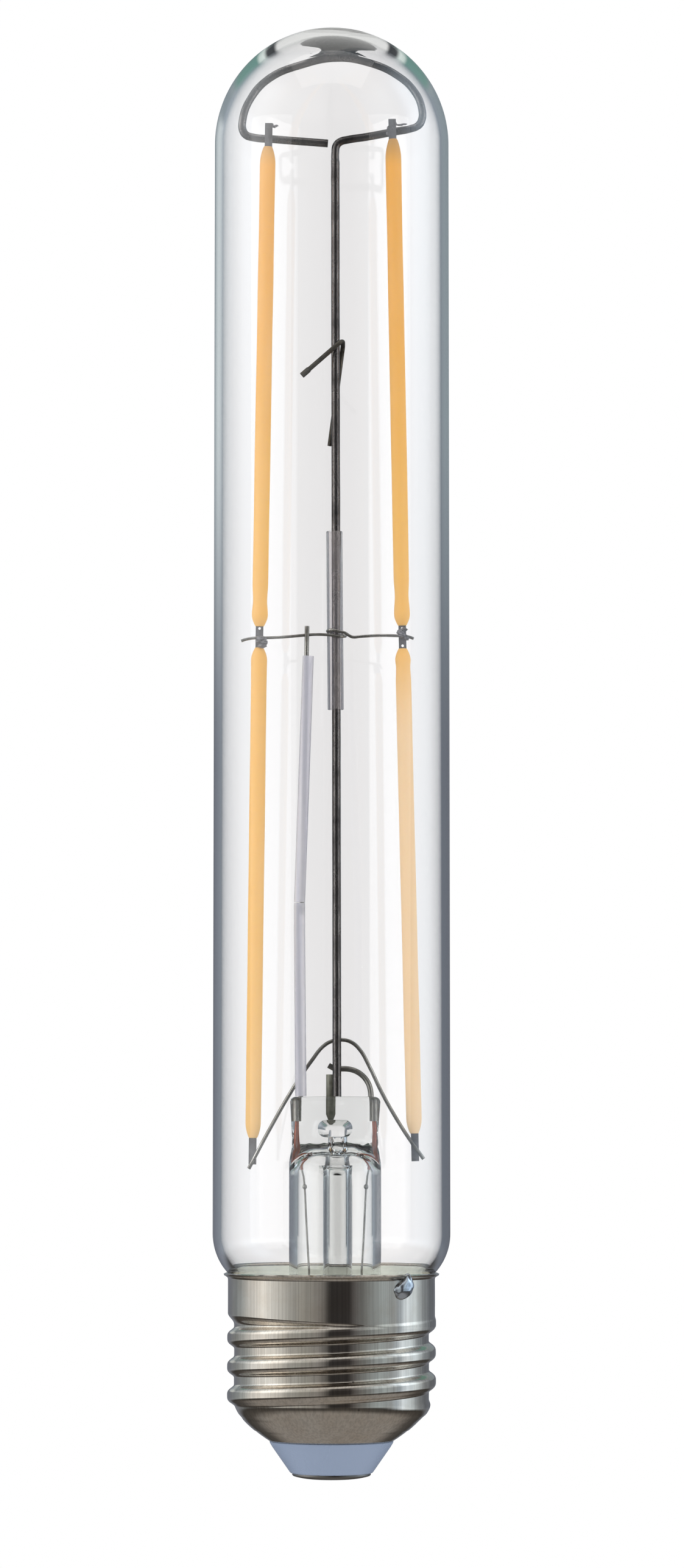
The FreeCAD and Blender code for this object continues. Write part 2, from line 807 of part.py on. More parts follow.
# Arch wire: joins the lower filaments, and its top is welded to the rod's back
def arch_wire():
    points = [
        (low_left[0] - arch_left_end_out, arch_y, low_seat_z - arch_left_end_drop),
        (rod_foot_x - arch_left_reach, arch_y, press_top_z + arch_left_shoulder),
        (rod_foot_x + arch_right_reach, arch_y, press_top_z + arch_right_shoulder),
        (low_right[0] + arch_right_end_out, arch_y, low_seat_z + arch_right_end_rise),
    ]
    return bent_wire(points, [arch_left_bend, arch_right_bend], arch_wire_diameter)


# Getter wire: its loaded end is in front, and it is folded round the rod and down behind it
def getter():
    fold_z = middle_z + getter_above_middle
    rod_x = rod_point(fold_z)[0]
    reach = rod_radius + getter_radius + 2 * weld_gap
    fold_x = rod_x + reach
    tip = (rod_x - getter_left_reach, -reach, fold_z - getter_left_drop)
    fold_front = (fold_x, -reach, fold_z)
    fold_back = (fold_x, reach, fold_z - getter_diameter)
    points = [tip, fold_front, fold_back, (rod_x - getter_tail_shift, reach, fold_z - getter_tail_drop)]
    wire = bent_wire(points, [getter_fold_bend, getter_fold_bend], getter_diameter)
    head = Part.makeCylinder(getter_head_diameter / 2, getter_head_length)
    return wire.fuse(placed_along(head, tip, fold_front))


# Metal strip from foot to head, with a round hole near the end at the cross wire
def strip(foot, head, hole_from_foot):
    length = (vector(*head) - vector(*foot)).Length
    half_width = strip_width / 2
    corner = vector(-half_width, -strip_thickness / 2, 0)
    plate = Part.makeBox(strip_width, strip_thickness, length, corner)
    hole_z = strip_hole_inset if hole_from_foot else length - strip_hole_inset
    hole_start = vector(0, -half_width, hole_z)
    hole = Part.makeCylinder(strip_hole_diameter / 2, strip_width, hole_start, vector(0, 1, 0))
    return placed_along(plate.cut(hole), foot, head)


# Coat cast on a strip. from_z is its outer end and to_z its end at the cross wire.
def coat(strip_shape, foot, head, from_z, to_z):
    start = at_height(foot, head, from_z)
    end = at_height(foot, head, to_z)
    length = (vector(*end) - vector(*start)).Length
    full = coat_diameter / 2
    small = coat_end_diameter / 2
    bulge = coat_bulge_diameter / 2
    knee = coat_taper_share
    outline = [(0, 0), (small, 0)]
    outline += [(small + (full - small) * (1 - knee), knee * coat_taper_outer), (full, coat_taper_outer)]
    outline += [(full, length - coat_neck_length), (coat_neck_diameter / 2, length - coat_neck_inset)]
    outline.append((bulge, length - coat_taper_middle))
    outline.append((small + (bulge - small) * (1 - knee), length - knee * coat_taper_middle))
    outline += [(small, length), (0, length)]
    return placed_along(turned_outline(outline), start, end).cut(strip_shape)


# Cement between the neck and the skirt
def cap_cement(held):
    foot_z = neck_end_z + cement_foot_drop
    ring = Part.makeCylinder(skirt_bore, rim_z - cement_recess - foot_z, vector(0, 0, foot_z))
    return ring.cut([Part.makeCylinder(neck_radius, rim_z)] + held)


# A point at a radius and height on the side where the shell wire comes out
def shell_side(r, z):
    angle = math.radians(shell_wire_azimuth)
    return (r * math.cos(angle), r * math.sin(angle), z)


# Shell wire: from the board past the neck, up between glass and skirt, over the rim into the solder
def shell_wire():
    half = shell_wire_diameter / 2
    board_r = root_bore - board_clearance - shell_wire_edge
    slot_r = skirt_bore - half - shell_wire_skirt_gap
    slope = skirt_shoulder_height / (skirt_bore - root_bore)
    slot_z = skirt_bottom_z + half / 2
    over_z = rim_z + half + shell_wire_over_gap
    turn_in_z = rim_z - rim_width + shell_wire_turn_rise
    out_r = rim_radius + shell_wire_diameter
    points = [
        shell_side(board_r, board_top_z),
        shell_side(board_r, slot_z - (slot_r - board_r) * slope),
        shell_side(slot_r, slot_z),
        shell_side(slot_r, turn_in_z),
        shell_side(slot_r + over_z - turn_in_z, over_z),
        shell_side(out_r, over_z),
        shell_side(skirt_radius + solder_width / 3, rim_z - solder_length / 2),
    ]
    return bent_wire(points, [shell_wire_bend] * (len(points) - 2), shell_wire_diameter)


# Solder drop on the skirt that holds the end of the shell wire
def shell_solder(held):
    low = solder_width / 2
    high = solder_top_width / 2
    foot = shell_side(skirt_radius, 0)
    low_z = rim_z - solder_length + low
    high_z = rim_z - rim_width
    turn = math.asin((low - high) / (high_z - low_z))
    low_end = (low * math.cos(turn), 0, low_z + low * math.sin(turn))
    high_end = (high * math.cos(turn), 0, high_z + high * math.sin(turn))
    drop = turned([
        arc((0, 0, low_z - low), arc_point(0, low_z, low, -45), low_end),
        line(low_end, high_end),
        arc(high_end, arc_point(0, high_z, high, 60), (0, 0, high_z + high)),
        line((0, 0, high_z + high), (0, 0, low_z - low)),
    ])
    drop.translate(vector(*foot))
    inside_skirt = Part.makeCylinder(skirt_bore + cap_sheet / 2, rim_z + solder_length)
    return drop.cut([inside_skirt] + room_over_rim() + held)


# Space inside and over the rim, which the solder doesn't run into
def room_over_rim():
    inside_rim = Part.makeCylinder(skirt_bore + rim_width, solder_length, vector(0, 0, rim_z - rim_width))
    over_rim = Part.makeCylinder(rim_radius, solder_length, vector(0, 0, rim_z))
    return [inside_rim, over_rim]


def driver_board():
    radius = root_bore - board_clearance
    return Part.makeCylinder(radius, board_thickness, vector(0, 0, board_bottom_z))


# Moulded body with a row of flat legs on its front and back, standing on the board
def body_with_legs(length, width, height, legs, pitch, middle_y):
    body_z = board_top_z + leg_thickness / 2
    shape = Part.makeBox(length, width, height, vector(-length / 2, middle_y - width / 2, body_z))
    for index in range(legs):
        x = (index - (legs - 1) / 2) * pitch - leg_width / 2
        row = Part.makeBox(leg_width, width + 2 * leg_reach, leg_thickness,
                           vector(x, middle_y - width / 2 - leg_reach, board_top_z))
        shape = shape.fuse(row)
    return shape.removeSplitter()


# Can with a rolled groove near its plug, hung under the board
def smoothing_capacitor():
    angle = math.radians(capacitor_azimuth)
    radius = capacitor_diameter / 2
    top = board_bottom_z - component_gap
    foot = top - capacitor_length
    groove_z = top - capacitor_groove_inset
    half = capacitor_groove
    can = turned_outline([
        (0, foot), (radius, foot), (radius, groove_z - half), (radius - capacitor_groove / 2, groove_z),
        (radius, groove_z + half), (radius, top), (0, top),
    ])
    can.translate(vector(capacitor_offset * math.cos(angle), capacitor_offset * math.sin(angle), 0))
    return can


# Fuse resistor: body along Y under the board, with both leads bent up to it
def fuse_resistor():
    radius = resistor_diameter / 2
    half = resistor_length / 2
    axis_z = board_bottom_z - component_gap - radius
    foot = vector(resistor_x, resistor_y - half, axis_z)
    shape = Part.makeCylinder(radius, resistor_length, foot, vector(0, 1, 0))
    for way in (-1, 1):
        end_y = resistor_y + way * half
        lead_y = end_y + way * resistor_lead_reach
        points = [(resistor_x, end_y - way * radius / 2, axis_z), (resistor_x, lead_y, axis_z)]
        points.append((resistor_x, lead_y, board_bottom_z))
        shape = shape.fuse(bent_wire(points, [resistor_lead_diameter], resistor_lead_diameter))
    return shape


def contact_wire():
    foot = (0, 0, contact_sheet + contact_wire_end)
    return round_bar(foot, (0, 0, board_bottom_z), contact_wire_diameter)


glass = glass_envelope()
cap = screw_cap()
rod = support_rod()
anchor = rod_anchor()
left_lower = left_lead_lower()
right_lead = right_inner_lead()
left_seal = seal_wire(left_slug_x, -1)
right_seal = seal_wire(right_slug_x, 1)
cap_wire = shell_wire()

write("glass_envelope", glass)
write("stem_flare", stem_flare([anchor, left_lower, right_lead, left_seal, right_seal]))
write("exhaust_tube", exhaust_tube())
write("support_rod", rod)
write("rod_anchor", anchor)
write("left_lead_lower", left_lower)
write("left_lead_upper", left_lead_upper())
write("right_inner_lead", right_lead)
write("left_seal_wire", left_seal)
write("right_seal_wire", right_seal)
write("left_outer_lead", outer_lead(left_slug_x, -1))
write("right_outer_lead", outer_lead(right_slug_x, 1))
write("lower_lead_sleeve", lower_lead_sleeve())
write("upper_lead_sleeve", upper_lead_sleeve())
write("rod_sleeve", rod_sleeve())
write("cross_wire", cross_wire())
write("arch_wire", arch_wire())
write("getter_wire", getter())

# Each filament: name, end at the cross wire, outer end, bare length at each of them
filaments = [
    ("upper_left", middle_left, top_left, bare_middle_left, bare_top_left),
    ("upper_right", middle_right, top_right, bare_middle_right, bare_top_right),
    ("lower_left", middle_left, low_left, bare_middle_left, bare_low_left),
    ("lower_right", middle_right, low_right, bare_middle_right, bare_low_right),
]
for name, inner, outer, bare_inner, bare_outer in filaments:
    upwards = outer[2] > inner[2]
    way = 1 if upwards else -1
    near = at_height(inner, outer, inner[2] + way * strip_end_gap)
    foot = near if upwards else outer
    head = outer if upwards else near
    metal = strip(foot, head, upwards)
    write(name + "_strip", metal)
    outer_z = outer[2] - way * bare_outer
    inner_z = inner[2] + way * bare_inner
    write(name + "_coat", coat(metal, foot, head, outer_z, inner_z))

write("screw_cap", cap)
write("cap_insulator", cap_insulator())
write("centre_contact", centre_contact())
write("cap_cement", cap_cement([glass, cap_wire]))
write("shell_wire", cap_wire)
write("shell_solder", shell_solder([cap, cap_wire]))
write("contact_wire", contact_wire())
write("driver_board", driver_board())
bridge = body_with_legs(bridge_length, bridge_width, bridge_height, 2, bridge_leg_pitch, chip_offset)
chip = body_with_legs(chip_length, chip_width, chip_height, 4, chip_leg_pitch, -chip_offset)
write("bridge_rectifier", bridge)
write("driver_chip", chip)
write("smoothing_capacitor", smoothing_capacitor())
write("fuse_resistor", fuse_resistor())
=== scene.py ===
import math

import bmesh
import bpy
from mathutils import Matrix, Vector, noise


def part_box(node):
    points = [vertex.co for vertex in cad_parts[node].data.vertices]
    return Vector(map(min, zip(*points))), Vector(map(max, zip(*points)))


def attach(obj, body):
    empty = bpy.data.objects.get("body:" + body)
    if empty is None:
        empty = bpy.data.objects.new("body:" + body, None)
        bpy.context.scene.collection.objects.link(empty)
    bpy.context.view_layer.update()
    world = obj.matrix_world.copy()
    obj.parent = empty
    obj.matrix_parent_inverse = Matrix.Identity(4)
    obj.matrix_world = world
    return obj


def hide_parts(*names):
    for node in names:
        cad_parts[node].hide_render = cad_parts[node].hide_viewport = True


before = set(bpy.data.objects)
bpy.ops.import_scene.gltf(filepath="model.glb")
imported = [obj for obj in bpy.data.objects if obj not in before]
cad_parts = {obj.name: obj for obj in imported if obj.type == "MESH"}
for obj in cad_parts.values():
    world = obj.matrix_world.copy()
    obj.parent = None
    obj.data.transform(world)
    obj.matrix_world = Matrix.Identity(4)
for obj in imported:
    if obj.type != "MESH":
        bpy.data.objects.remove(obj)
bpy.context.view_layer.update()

# Tubular filament lamp with a screw cap. Sizes are in millimetres, and mm turns them into metres.
# z runs up from the contact to the dome, and the front is the -y side.
mm = 0.001


# materials


class Signal:
    # a value inside a material, which adds and multiplies like a number
    def __init__(self, paint, socket):
        self.paint = paint
        self.socket = socket

    def maths(self, operation, *values):
        return self.paint.node("ShaderNodeMath", {"operation": operation}, dict(enumerate(values)))

    def __add__(self, other):
        return self.maths("ADD", self, other)

    def __sub__(self, other):
        return self.maths("SUBTRACT", self, other)

    def __rsub__(self, other):
        return self.maths("SUBTRACT", other, self)

    def __mul__(self, other):
        return self.maths("MULTIPLY", self, other)

    def __truediv__(self, other):
        return self.maths("DIVIDE", self, other)

    __radd__ = __add__
    __rmul__ = __mul__


class Paint:
    # the nodes of one material, or of the world
    def __init__(self, name, kind="Material"):
        self.owner = (bpy.data.worlds if kind == "World" else bpy.data.materials).new(name)
        self.owner.use_nodes = True
        self.tree = self.owner.node_tree
        self.tree.nodes.clear()
        self.output = self.tree.nodes.new("ShaderNodeOutput" + kind)

    def node(self, kind, settings=None, inputs=None, out=0):
        made = self.tree.nodes.new(kind)
        for key, value in (settings or {}).items():
            if key == "stops":
                self.setStops(made.color_ramp, value)
            else:
                setattr(made, key, value)
        for key, value in (inputs or {}).items():
            if isinstance(value, Signal):
                self.tree.links.new(value.socket, made.inputs[key])
            else:
                made.inputs[key].default_value = value
        return Signal(self, made.outputs[out])

    def setStops(self, ramp, stops):
        while len(ramp.elements) < len(stops):
            ramp.elements.new(1.0)
        for element, (place, colour) in zip(ramp.elements, stops):
            element.position = place
            element.color = (*colour, 1.0) if len(colour) == 3 else colour

    def point(self, scale=(1, 1, 1)):
        place = self.node("ShaderNodeTexCoord", out="Object")
        return self.node("ShaderNodeMapping", None, {"Vector": place, "Scale": scale})

    def axis(self, letter):
        place = self.node("ShaderNodeTexCoord", out="Object")
        return self.node("ShaderNodeSeparateXYZ", None, {"Vector": place}, "XYZ".index(letter))

    def grain(self, scale, stretch=(1, 1, 1), detail=3.0, roughness=0.55):
        inputs = {"Vector": self.point(stretch), "Scale": scale, "Detail": detail, "Roughness": roughness}
        return self.node("ShaderNodeTexNoise", None, inputs)

    def ramp(self, value, stops):
        return self.node("ShaderNodeValToRGB", {"stops": stops}, {"Fac": value})

    def blend(self, factor, a, b):
        inputs = {0: factor, 6: self.full(a), 7: self.full(b)}
        return self.node("ShaderNodeMix", {"data_type": "RGBA"}, inputs, 2)

    def full(self, colour):
        return colour if isinstance(colour, Signal) else (*colour, 1.0)

    def bump(self, height, distance, strength=1.0):
        inputs = {"Height": height, "Distance": distance, "Strength": strength}
        return self.node("ShaderNodeBump", None, inputs)

    def finish(self, surface, volume=None):
        self.tree.links.new(surface.socket, self.output.inputs["Surface"])
        if volume:
            self.tree.links.new(volume.socket, self.output.inputs["Volume"])
        return self.owner


def linear(red, green, blue):
    # a colour as seen on a screen, from 0 to 255, turned into the renderer's values
    def one(value):
        value /= 255
        return value / 12.92 if value <= 0.04045 else ((value + 0.055) / 1.055) ** 2.4
    return (one(red), one(green), one(blue))


def smooth(paint, value, low, high, start=0.0, end=1.0):
    inputs = {0: value, 1: low, 2: high, 3: start, 4: end}
    return paint.node("ShaderNodeMapRange", {"interpolation_type": "SMOOTHSTEP"}, inputs)


glassLook = {
    "tint": (0.966, 0.957, 0.958),
    "stemTint": (0.988, 0.99, 0.984),
    "shadowTint": (0.95, 0.96, 0.96),
    "ior": 1.5,
    "thickColour": (0.42, 0.58, 0.55),  # what is left of white light in deep glass
    "density": 14.0,  # per metre
    "stemDensity": 22.4,
}

# a dark matt patch with pale specks, mixed into the glass on the inside of the crown
crownPatch = {
    "middle": 0.91,
    "heights": (182.0, 184.04),
    "front": -5.2,
    "back": 4.9,
    "widest": 5.2,
    # share of the widest reach to each side, on the way from the front to the back
    "widths": [
        (0.0, 0.0), (0.03, 0.36), (0.1, 0.62), (0.22, 0.86), (0.38, 1.0), (0.54, 0.94),
        (0.66, 0.74), (0.75, 0.52), (0.82, 0.46), (0.9, 0.54), (0.96, 0.8), (1.0, 0.0),
    ],
    "softEdge": 0.25,
    "cover": 0.97,
    "colour": (24, 23, 26),
    "speckColour": (150, 150, 156),
}


def crownPatchMask(paint):
    across = paint.axis("X") / mm - crownPatch["middle"]
    across = across.maths("ABSOLUTE", across)
    along = (paint.axis("Y") / mm - crownPatch["front"]) / (crownPatch["back"] - crownPatch["front"])
    width = paint.ramp(along, [(place, (share,) * 3) for place, share in crownPatch["widths"]]) * crownPatch["widest"]
    low, high = crownPatch["heights"]
    height = paint.axis("Z") / mm
    inner = height.maths("GREATER_THAN", height, low) * height.maths("LESS_THAN", height, high)
    return smooth(paint, width - across, 0.0, crownPatch["softEdge"]) * inner


def clearGlass(name, density, tint, patched=False):
    paint = Paint(name)
    tint = (*tint, 1.0)
    inputs = {"Base Color": tint, "Transmission Weight": 1.0, "Roughness": 0.0, "IOR": glassLook["ior"]}
    glass = paint.node("ShaderNodeBsdfPrincipled", None, inputs)
    clear = paint.node("ShaderNodeBsdfTransparent", None, {"Color": (*glassLook["shadowTint"], 1.0)})
    isShadow = paint.node("ShaderNodeLightPath", out="Is Shadow Ray")
    surface = paint.node("ShaderNodeMixShader", None, {0: isShadow, 1: glass, 2: clear})
    # the dark matt patch on the inside of the crown, mixed in over the glass
    if patched:
        speck = paint.ramp(paint.grain(2600, detail=2.0), [(0.66, (0, 0, 0)), (0.74, (1, 1, 1))])
        tone = paint.blend(speck * 0.5, linear(*crownPatch["colour"]), linear(*crownPatch["speckColour"]))
        matt = {"Base Color": tone, "Roughness": 0.9, "Specular IOR Level": 0.0}
        dark = paint.node("ShaderNodeBsdfPrincipled", None, matt)
        mask = crownPatchMask(paint) * crownPatch["cover"]
        surface = paint.node("ShaderNodeMixShader", None, {0: mask, 1: surface, 2: dark})
    deep = {"Color": (*glassLook["thickColour"], 1.0), "Density": density}
    return paint.finish(surface, paint.node("ShaderNodeVolumeAbsorption", None, deep))


def drawnWire(name, light, dark, roughness, spots=0.5):
    paint = Paint(name)
    streak = paint.grain(900, (1, 1, 0.06))
    stain = paint.grain(420, detail=5.0)
    share = paint.ramp(stain * 0.6 + streak * 0.4, [(0.5 - 0.25 * spots, (0, 0, 0)), (0.62, (1, 1, 1))])
    inputs = {
        "Base Color": paint.blend(share, dark, light),
        "Metallic": 1.0,
        "Roughness": roughness + 0.25 * (1 - share),
        "Normal": paint.bump(streak, 0.02 * mm, 0.5),
    }
    return paint.finish(paint.node("ShaderNodeBsdfPrincipled", None, inputs))


def rolledNickel(name):
    paint = Paint(name)
    streak = paint.grain(3400, (1, 1, 0.012), detail=2.0)
    stain = paint.grain(150, detail=6.0, roughness=0.65)
    speck = paint.node("ShaderNodeTexVoronoi", None, {"Vector": paint.point(), "Scale": 300.0})
    brown = paint.ramp(stain, [(0.42, (0, 0, 0)), (0.7, (1, 1, 1))])
    metal = paint.blend(brown * 0.5, linear(224, 216, 205), linear(198, 178, 156))
    darker = paint.ramp(streak, [(0.36, (1, 1, 1)), (0.6, (0, 0, 0))]) * 0.32
    metal = paint.blend(darker, metal, linear(150, 145, 138))
    pit = paint.ramp(speck, [(0.02, (1, 1, 1)), (0.06, (0, 0, 0))])
    inputs = {
        "Base Color": paint.blend(pit * 0.7, metal, linear(50, 46, 42)),
        "Metallic": 1.0,
        "Roughness": 0.02 + 0.1 * streak + 0.06 * stain,
        "Normal": paint.bump(streak * 0.4 + 0.6 * stain, 0.012 * mm, 0.3),
    }
    return paint.finish(paint.node("ShaderNodeBsdfPrincipled", None, inputs))


coatColours = {
    "heights": (39.0, 173.0),
    "stops": [
        (0.0, (248, 200, 124)), (0.14, (253, 194, 94)), (0.3, (253, 191, 86)), (0.5, (250, 186, 74)),
        (0.62, (248, 184, 60)), (0.8, (243, 171, 28)), (0.955, (239, 166, 24)), (0.978, (190, 138, 50)),
    ],
    # the lower right filament is paler than the others
    "faded": (255, 224, 186),
    "fadedAcross": 6.0,
    "fadedHeights": (0.52, 0.4),
    "fadedShare": 0.72,
}


def castSilicone(name):
    paint = Paint(name)
    low, high = coatColours["heights"]
    height = (paint.axis("Z") / mm - low) / (high - low)
    cloud = paint.grain(160, (1, 1, 0.15), detail=2.0)
    colour = paint.ramp(height, [(place, linear(*rgb)) for place, rgb in coatColours["stops"]])
    pale = paint.ramp(cloud, [(0.45, (0, 0, 0)), (0.75, (1, 1, 1))]) * 0.2
    onRight = smooth(paint, paint.axis("X"), 0, coatColours["fadedAcross"] * mm)
    faded = onRight * smooth(paint, height, *coatColours["fadedHeights"]) * coatColours["fadedShare"]
    share = pale.maths("MAXIMUM", pale, faded)
    inputs = {
        "Base Color": paint.blend(share, colour, linear(*coatColours["faded"])),
        "Roughness": 0.5,
        "Specular IOR Level": 0.25,
        "Subsurface Weight": 0.12,
        "Subsurface Radius": (1.0, 0.6, 0.3),
        "Subsurface Scale": 0.6 * mm,
        "Normal": paint.bump(cloud, 0.05 * mm, 0.3),
    }
    return paint.finish(paint.node("ShaderNodeBsdfPrincipled", None, inputs))


def plain(name, colour, roughness, metallic=0.0, cloudScale=300.0, contrast=0.25, bumpHeight=0.02,
          paintedGlow=0.0):
    # the last argument is painted light: an even glow in the surface's own colour that lifts it out of shade,
    # though the thing is no lamp
    paint = Paint(name)
    cloud = paint.grain(cloudScale, detail=4.0)
    dark = tuple(part * (1 - contrast) for part in colour)
    tone = paint.blend(cloud, dark, colour)
    inputs = {
        "Base Color": tone,
        "Metallic": metallic,
        "Roughness": roughness + 0.1 * cloud,
        "Normal": paint.bump(cloud, bumpHeight * mm, 0.6),
    }
    if paintedGlow:
        inputs |= {"Emission Color": tone, "Emission Strength": paintedGlow}
    return paint.finish(paint.node("ShaderNodeBsdfPrincipled", None, inputs))


def clearSleeve(name, light, dark, seeThrough):
    # thin plastic tubing: faint lengthwise lines, mostly clear, with its walls a little milky
    paint = Paint(name)
    line = paint.grain(900, (1, 1, 0.03), detail=2.0)
    share = paint.ramp(line, [(0.4, (0, 0, 0)), (0.6, (1, 1, 1))])
    cloudy = {"Base Color": paint.blend(share, dark, light), "Roughness": 0.35}
    milky = paint.node("ShaderNodeBsdfPrincipled", None, cloudy)
    clear = {
        "Base Color": (0.95, 0.93, 0.93, 1.0),
        "Transmission Weight": 1.0,
        "Roughness": 0.04,
        "IOR": 1.22,
    }
    wall = paint.node("ShaderNodeBsdfPrincipled", None, clear)
    body = paint.node("ShaderNodeMixShader", None, {0: seeThrough, 1: milky, 2: wall})
    # most of the light gets through it, so its shadow is faint
    faint = paint.node("ShaderNodeBsdfTransparent", None, {"Color": (0.9, 0.9, 0.91, 1.0)})
    isShadow = paint.node("ShaderNodeLightPath", out="Is Shadow Ray")
    return paint.finish(paint.node("ShaderNodeMixShader", None, {0: isShadow * 0.8, 1: body, 2: faint}))


looks = [
    clearGlass("bulbGlass", glassLook["density"], glassLook["tint"], patched=True),
    clearGlass("stemGlass", glassLook["stemDensity"], glassLook["stemTint"]),
    drawnWire("rodSteel", linear(122, 118, 116), linear(42, 41, 44), 0.2, spots=1.0),
    drawnWire("anchorSteel", linear(196, 196, 180), linear(120, 118, 108), 0.4),
    drawnWire("leadNickel", linear(172, 170, 164), linear(112, 108, 102), 0.22),
    drawnWire("tabMetal", linear(160, 157, 162), linear(112, 108, 108), 0.4),
    plain("sealCopper", linear(176, 92, 66), 0.35, 1.0),
    plain("tinnedWire", linear(176, 176, 178), 0.3, 1.0),
    drawnWire("getterSteel", linear(112, 108, 100), linear(66, 64, 60), 0.45),
    castSilicone("amberCoat"),
    clearSleeve("thinSleeve", linear(250, 248, 252), linear(224, 224, 236), 0.62),
    clearSleeve("thickSleeve", linear(214, 204, 200), linear(150, 150, 162), 0.9),
    rolledNickel("capNickel"),
    plain("insulatorGlaze", linear(146, 160, 184), 0.22, 0.0, 90.0, 0.12),
    plain("contactNickel", linear(150, 146, 142), 0.28, 1.0),
    # the cement is painted paler than it is and given a painted glow, to lift it out of the shade inside the
    # cap's neck
    plain("capCement", linear(250, 252, 238), 0.85, 0.0, 500.0, 0.45, 0.15, paintedGlow=0.35),
    plain("brightSolder", linear(214, 222, 232), 0.14, 1.0, 500.0, 0.2, 0.06),
    plain("boardGreen", linear(44, 92, 60), 0.5),
    plain("blackBody", linear(32, 32, 34), 0.45),
    plain("drawnCan", linear(186, 188, 190), 0.3, 1.0),
    plain("resistorLacquer", linear(120, 150, 130), 0.35),
]
looks = {look.name: look for look in looks}
print("materials ready:", len(looks))


def keep(shape, name, look, slot, *nodes, sharp=38):
    # turns a finished shape into a piece that stands for its nodes
    bmesh.ops.recalc_face_normals(shape, faces=shape.faces)
    for face in shape.faces:
        face.smooth = True
    for edge in shape.edges:
        edge.smooth = not edge.is_manifold or edge.calc_face_angle(0) < math.radians(sharp)
    mesh = bpy.data.meshes.new(name)
    shape.to_mesh(mesh)
    shape.free()
    piece = bpy.data.objects.new(name, mesh)
    bpy.context.scene.collection.objects.link(piece)
    mesh.materials.append(looks[look])
    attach(piece, "root")
    if nodes:
        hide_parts(*nodes)
    return piece


def merged(nodeName):
    # a welded copy of a node's loose triangles
    shape = bmesh.new()
    shape.from_mesh(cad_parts[nodeName].data)
    bmesh.ops.remove_doubles(shape, verts=shape.verts, dist=0.001 * mm)
    return shape


def spun(outline, steps, closed=True, centre=(0, 0)):
    # a half outline of (radius, height) points turned about a vertical axis
    shape = bmesh.new()
    verts = [shape.verts.new((r * mm, 0, z * mm)) for r, z in outline]
    pairs = list(zip(verts, verts[1:])) + ([(verts[-1], verts[0])] if closed else [])
    edges = [shape.edges.new(pair) for pair in pairs]
    turn = {"cent": (0, 0, 0), "axis": (0, 0, 1), "angle": math.tau, "steps": steps, "use_merge": True}
    bmesh.ops.spin(shape, geom=verts + edges, **turn)
    bmesh.ops.remove_doubles(shape, verts=shape.verts, dist=0.002 * mm)
    bmesh.ops.translate(shape, verts=shape.verts, vec=(centre[0] * mm, centre[1] * mm, 0))
    bmesh.ops.recalc_face_normals(shape, faces=shape.faces)
    return shape


def sweep(centre, radius, start, end, steps):
    # points of an arc, angles in degrees from the outward direction
    turns = [math.radians(start + (end - start) * step / steps) for step in range(steps + 1)]
    return [(centre[0] + radius * math.cos(turn), centre[1] + radius * math.sin(turn)) for turn in turns]


def easeTo(value):
    value = min(max(value, 0.0), 1.0)
    return value * value * (3 - 2 * value)


# glass bulb

bulb = {
    "radius": 15.0,
    "wall": 1.0,
    "top": 185.0,
    "crown": 1.0,
    "neckRadius": 12.0,
    "neckEnd": 20.687,
    "neckTop": 23.5,
    "shoulderAngle": 45.0,
    "upperShare": 0.72,
    # facets: round the bulb, up the dome, along the tube, and in the two bends of the shoulder
    "steps": 160,
    "domeSteps": 40,
    "tubeSteps": 24,
    "upperSteps": 14,
    "lowerSteps": 8,
    # drawn glass is never quite round, and the inner wall waves a little more than the outer one
    "ripple": 0.012,
    "innerRipple": 1.6,
    "outerRipple": 0.6,
    "rippleSize": (9.0, 60.0),
}


def makeBulb():
    radius, wall, angle = bulb["radius"], bulb["wall"], bulb["shoulderAngle"]
    bore = radius - wall
    neck, neckTop = bulb["neckRadius"], bulb["neckTop"]
    bends = (radius - neck) / (1 - math.cos(math.radians(angle)))
    upper = bends * bulb["upperShare"]
    lower = bends - upper
    straight = neckTop + bends * math.sin(math.radians(angle))
    domeFoot = bulb["top"] - radius
    innerDomeFoot = bulb["top"] - bulb["crown"] - bore
    domeSteps, upperSteps, lowerSteps = bulb["domeSteps"], bulb["upperSteps"], bulb["lowerSteps"]

    def along(start, end):
        tubeSteps = bulb["tubeSteps"]
        return [start + (end - start) * step / tubeSteps for step in range(1, tubeSteps)]

    outside = sweep((0, domeFoot), radius, 90, 0, domeSteps)
    outside += [(radius, z) for z in along(domeFoot, straight)]
    outside += sweep((radius - upper, straight), upper, 0, -angle, upperSteps)
    outside += sweep((neck + lower, neckTop), lower, 180 - angle, 180, lowerSteps)[1:]
    outside.append((neck, bulb["neckEnd"]))
    inside = [(neck - wall, bulb["neckEnd"])]
    inside += sweep((neck + lower, neckTop), lower + wall, 180, 180 - angle, lowerSteps)
    inside += sweep((radius - upper, straight), upper - wall, -angle, 0, upperSteps)[1:]
    inside += [(bore, z) for z in along(straight, innerDomeFoot)]
    inside += sweep((0, innerDomeFoot), bore, 0, 90, domeSteps)
    shape = spun(outside + inside, bulb["steps"])
    across, upright = bulb["rippleSize"]
    for vert in shape.verts:
        x, y, z = vert.co / mm
        flat = math.hypot(x, y)
        if flat > 1 and z > neckTop:
            wave = noise.noise(Vector((x / across, y / across, z / upright)))
            share = bulb["innerRipple"] if flat < bore + 0.4 else bulb["outerRipple"]
            reach = 1 + wave * bulb["ripple"] * share / flat
            vert.co.x *= reach
            vert.co.y *= reach
    keep(shape, "glassBulb", "bulbGlass", "clear_glass", "glass_envelope", sharp=60)


makeBulb()
print("glass bulb made")


# stem: flare tube, press with its port, exhaust tube

